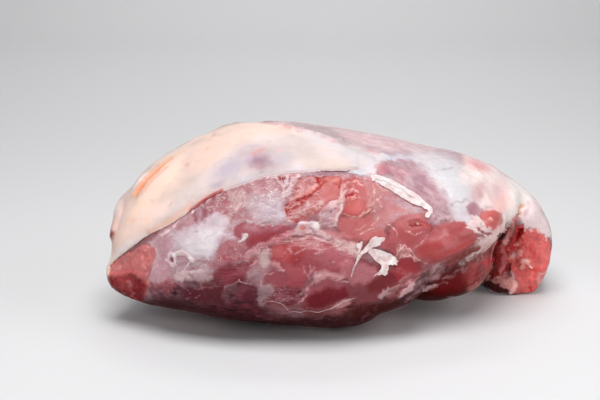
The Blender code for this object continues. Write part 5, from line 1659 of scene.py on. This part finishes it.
def finish_piece(name, work, material):
    """Makes the piece from its bands and sheets, with its material, riding on the meat."""
    bmesh.ops.recalc_face_normals(work, faces=work.faces)
    mesh = bpy.data.meshes.new(name)
    work.to_mesh(mesh)
    work.free()
    mesh.materials.append(material)
    mesh.shade_smooth()
    mesh.set_sharp_from_angle(angle=math.radians(55))
    made = bpy.data.objects.new(name, mesh)
    bpy.context.scene.collection.objects.link(made)
    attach(made, "root")


STREAK_TINT = (0.84, 0.7, 0.68)


def sinew_material(name, pale, tinted, way):
    """Tendon and fascia: pale strands where it stands off the flesh, tinted pink where it lies on it."""
    made = bpy.data.materials.new(name)
    made.use_nodes = True
    tree = made.node_tree
    spot_on = node(tree, "ShaderNodeTexCoord").outputs["Object"]
    off = stored(tree, "stands_off")["Fac"]
    fine = laid_at(tree, strands, spot_on, way, FINE_STRANDS)
    mottle = noise_at(tree, spot_on, 260, 3)["Fac"]
    tinge = maths(tree, "ADD", ramp(tree, off, 0.2, 0.9, 1, 0), ramp(tree, mottle, 0.3, 0.7, -0.4, 0.4))
    shade = blend(tree, ramp(tree, tinge, 0, 1), tuple(pale), tuple(tinted))
    bump = node(tree, "ShaderNodeBump", {"Height": fine, "Strength": 0.6, "Distance": 0.0005}).outputs[0]
    set_inputs(tree, tree.nodes["Principled BSDF"], {
        "Base Color": tint(tree, ramp(tree, fine, 0.52, 0.7, 0, 0.35), shade, STREAK_TINT),
        "Roughness": ramp(tree, mottle, 0.3, 0.7, 0.5, 0.3),
        "Subsurface Weight": 0.4,
        "Subsurface Radius": (1, 0.7, 0.6),
        "Subsurface Scale": 0.003,
        "Coat Weight": 0.3,
        "Coat Roughness": 0.15,
        "Normal": bump,
    })
    return made


tendon_white = sinew_material("tendon_white", tone(232, 218, 216), tone(222, 192, 190), -0.55)
torn_fascia = sinew_material("torn_fascia", tone(250, 232, 228), tone(230, 186, 184), 0.5)
thin_fascia = sinew_material("thin_fascia", tone(222, 184, 182), tone(190, 130, 130), 0.5)

work = new_work()
TENDON_OUTLINE = ((370.6, 174.4), (373.4, 175.4), (376, 174.8), (379.8, 175.2), (386, 177.8),
    (390, 178.8), (395, 181.2), (399, 183.4), (405, 186.8), (408, 189.4), (413, 191.4), (418, 194.8),
    (422, 199), (427, 203.2), (431.6, 206.8), (433, 209.4), (432.4, 212.8), (430.4, 215), (429, 217.4),
    (426.8, 217.8), (425, 216.2), (425.8, 213.4), (428, 211.2), (427.4, 209.6), (424, 208.4),
    (421.6, 206.4), (417, 205.4), (412, 203.4), (407, 200.4), (402, 197.8), (398, 194.8), (394, 192.6),
    (390, 189.6), (385.4, 187.2), (381, 185), (378.6, 183.2), (376, 182.4), (374.6, 180.4), (372, 180.8),
    (372.4, 178.4), (370.4, 177))
TENDON_HEIGHTS = ((371, 177, 0.1), (377, 179, 0.7), (390, 184, 1), (404, 192, 1), (418, 200, 0.9),
    (428, 206.6, 0.9), (431, 211, 0.9), (427, 216, 0.6))
sheet(work, TENDON_OUTLINE, TENDON_HEIGHTS, 1.1, 40)
TENDON_RIDGE = ((375, 178, 0.8, 0.3, 0.7), (386, 181.8, 1.8, 0.5, 0.9), (397, 187, 2, 0.5, 0.9),
    (408, 193.4, 1.8, 0.5, 0.9), (419, 200, 0.8, 0.3, 0.8))
band(work, TENDON_RIDGE, 31, fray=0.4, curl=0)
finish_piece("tendon", work, tendon_white)

work = new_work()
TOP_LEAF = ((366.6, 248), (368, 244.4), (370.6, 239), (373, 237.4), (375.8, 236), (379, 237.4),
    (382, 237.2), (385.4, 238), (384.4, 241), (381.4, 242.6), (380.4, 245), (376.4, 246.8), (372.4, 247.6),
    (369, 249.4))
TOP_LEAF_HEIGHTS = ((368, 247, 0.5), (372, 241, 1.2), (378, 237, 1.6), (384, 240, 1.4), (378, 245, 1))
sheet(work, TOP_LEAF, TOP_LEAF_HEIGHTS, 0.4, 41)
LONG_LEAF = ((371.4, 243), (371, 247), (366.4, 252.4), (362.6, 254), (359.6, 259.6), (357, 263.4),
    (354.4, 269), (351.6, 277), (350.6, 277), (352.6, 269), (355.8, 262), (357, 257.4), (360.4, 252.4),
    (364.6, 247.6), (368, 244))
LONG_LEAF_HEIGHTS = ((370, 245, 1.2), (364, 251, 0.9), (357, 261, 0.6), (352, 274, 0.2))
sheet(work, LONG_LEAF, LONG_LEAF_HEIGHTS, 0.5, 46)
SMALL_LEAF = ((357, 243.4), (359.6, 243), (361.6, 240.8), (363, 242), (362, 246.6), (361, 249),
    (359.6, 253), (357.4, 254), (358, 249.4), (356.6, 246.4))
SMALL_LEAF_HEIGHTS = ((358, 244, 0.3), (362, 242, 1), (360, 248, 0.9), (358.6, 252, 0.3))
sheet(work, SMALL_LEAF, SMALL_LEAF_HEIGHTS, 0.4, 47)
WIDE_LEAF = ((366.4, 250), (370.4, 248.2), (375.4, 249), (380, 249.8), (385.4, 252), (390.4, 253.6),
    (393.6, 256), (396.4, 258), (396.6, 260.4), (399, 261), (397, 262.6), (397.2, 265.4), (394.4, 264.4),
    (393, 265.4), (390.4, 264.6), (388.4, 265.8), (388.8, 269), (387.4, 271.6), (387.6, 274), (384.6, 276),
    (382, 274.4), (379, 275.4), (376.4, 275), (373.4, 277), (375, 274.6), (379, 271.4), (381.4, 268.6),
    (381.4, 265.4), (378.4, 262.8), (375, 260.6), (372.4, 257), (369, 253.4))
WIDE_LEAF_HEIGHTS = ((367, 252, 0.2), (374, 253, 0.5), (384, 255, 1.1), (394, 259, 1.8), (396, 263, 2),
    (390, 263, 1.6), (384, 262, 0.7), (385, 270, 1.2), (376, 275, 0.5), (378, 259, 0.5))
sheet(work, WIDE_LEAF, WIDE_LEAF_HEIGHTS, 0.4, 42)
finish_piece("leaf_shreds", work, torn_fascia)

work = new_work()
CURLED_LIP = ((173.6, 256), (175.4, 253.4), (178.6, 251.6), (182, 250.8), (185.6, 251.8),
    (188.6, 254.4), (191.4, 257.4), (194, 260.4), (192.4, 262), (189.6, 260), (186.6, 257.6), (183.4, 256),
    (180, 255.4), (177, 255.8))
CURLED_LIP_HEIGHTS = ((174, 256, 0), (181, 253, 0.3), (187, 256, 0.5), (192, 260, 0.7))
sheet(work, CURLED_LIP, CURLED_LIP_HEIGHTS, 0.3, 43)
LIP_STRING = ((192, 260, 1, 0.4, 0.7), (189.6, 263, 0.9, 0.4, 0.5), (186.8, 266.6, 0.6, 0.3, 0.2),
    (184.4, 269.4, 0.3, 0.2, 0))
band(work, LIP_STRING, 7)
TORN_STUB = ((235, 241.6), (238.4, 240.8), (240.8, 240), (242.6, 237.4), (243.4, 234), (245.6, 232.8),
    (248, 233.4), (248.4, 235.4), (246.6, 238.2), (244, 240.6), (241, 242.2), (237.4, 243))
TORN_STUB_HEIGHTS = ((235, 242, 0), (241, 241, 0.15), (246, 235, 0.4), (248, 234, 0.5))
sheet(work, TORN_STUB, TORN_STUB_HEIGHTS, 0.25, 45)
finish_piece("torn_shreds", work, torn_fascia)

THREADS = (((258, 300.4, 0.3), (264, 301, 0.5), (270, 301.2, 0.8), (276, 302, 0.9), (282, 304, 0.8),
    (286, 307.4, 0.6), (288.4, 310.6, 0.6), (290, 312.4, 0.3)), ((287, 311, 0.3), (294, 311.4, 0.6),
    (300, 312.4, 0.9), (306, 311, 0.7), (312, 311.4, 0.8), (318, 312.4, 1), (324, 310.6, 0.9),
    (330, 309, 1.3), (337, 305.4, 1.6), (343, 302, 1.6), (350, 299.6, 1), (355, 298.4, 0.4)),
    ((281, 177, 0.3), (283, 184, 0.6), (284, 192, 0.5), (284, 198, 0.3)), ((278.6, 271.4, 0.3),
    (281, 270.2, 0.7), (283.6, 269.6, 0.7), (285.4, 270.4, 0.3)), ((446, 296.6, 0.3), (452, 297, 1.1),
    (462, 297.4, 1.4), (472, 296.4, 0.5)), ((342, 281.4, 0.3), (345, 282, 0.8), (348.4, 282.4, 0.9),
    (350.2, 280.4, 0.5)))
work = new_work()
for number, rows in enumerate(THREADS):
    band(work, [(u, v, wide * 0.8, wide * 0.3, -0.05) for u, v, wide in rows], 20 + number, 0.7, 0.9, -0.1)
finish_piece("fascia_threads", work, thin_fascia)

# The table and the light
# A plain pale floor that curves up behind. One wide soft lamp hangs overhead, with weak ones to the
# right, to the left and in front, one on the floor's rise and a narrow one aimed at the tail.
floor_mesh = bpy.data.meshes.new("floor")
SWEEP = [(-3.0, 0.0)] + [(1.6 + 0.8 * math.sin(a), 0.8 - 0.8 * math.cos(a))
                         for a in np.linspace(0, math.pi / 2, 16)] + [(2.4, 3.0)]
corners = [(side, depth, height) for depth, height in SWEEP for side in (-4.0, 4.0)]
quads = [(2 * i, 2 * i + 1, 2 * i + 3, 2 * i + 2) for i in range(len(SWEEP) - 1)]
floor_mesh.from_pydata(corners, [], quads)
floor_mesh.shade_smooth()
floor = bpy.data.objects.new("floor", floor_mesh)
bpy.context.scene.collection.objects.link(floor)
pale = bpy.data.materials.new("pale_floor")
pale.use_nodes = True
pale.node_tree.nodes["Principled BSDF"].inputs["Base Color"].default_value = (0.62, 0.62, 0.63, 1)
pale.node_tree.nodes["Principled BSDF"].inputs["Roughness"].default_value = 0.7
floor_mesh.materials.append(pale)


ON_MEAT = (0, 0, 0.06)
LAMPS = (("overhead", (-0.05, -0.35, 1.2), ON_MEAT, 0.8, 16),
    ("right", (0.95, -0.4, 0.7), (0.1, 0, 0.06), 0.7, 4),
    ("left", (-0.9, -0.8, 0.7), ON_MEAT, 0.7, 4), ("fill", (-0.3, -1.5, 0.6), ON_MEAT, 1.0, 1),
    ("backdrop", (0, 1.2, 1.9), (0, 2.4, 0.6), 1.2, 28))
TAIL_LIGHT_AT = (0.2, -1.2, 0.32)
ON_TAIL = (0.155, -0.03, 0.065)


def hang(light, at, aimed_at):
    """Puts a lamp at a place, in metres, and points it at another."""
    made = bpy.data.objects.new(light.name, light)
    made.location = at
    made.rotation_euler = (Vector(aimed_at) - made.location).to_track_quat("-Z", "Y").to_euler()
    bpy.context.scene.collection.objects.link(made)
    return made


for name, at, aimed_at, size, power in LAMPS:
    light = bpy.data.lights.new(name, "AREA")
    light.shape = "SQUARE"
    light.size = size
    light.energy = power
    hang(light, at, aimed_at)
snoot = bpy.data.lights.new("snoot", "SPOT")
snoot.energy = 22
snoot.spot_size = math.radians(18)
snoot.spot_blend = 1
snoot.shadow_soft_size = 0.12
hang(snoot, TAIL_LIGHT_AT, ON_TAIL).visible_glossy = False
world = bpy.data.worlds.new("studio")
bpy.context.scene.world = world
world.use_nodes = True
world.node_tree.nodes["Background"].inputs["Color"].default_value = (1, 1, 1, 1)
world.node_tree.nodes["Background"].inputs["Strength"].default_value = 0.08
bpy.context.scene.view_settings.view_transform = "Standard"
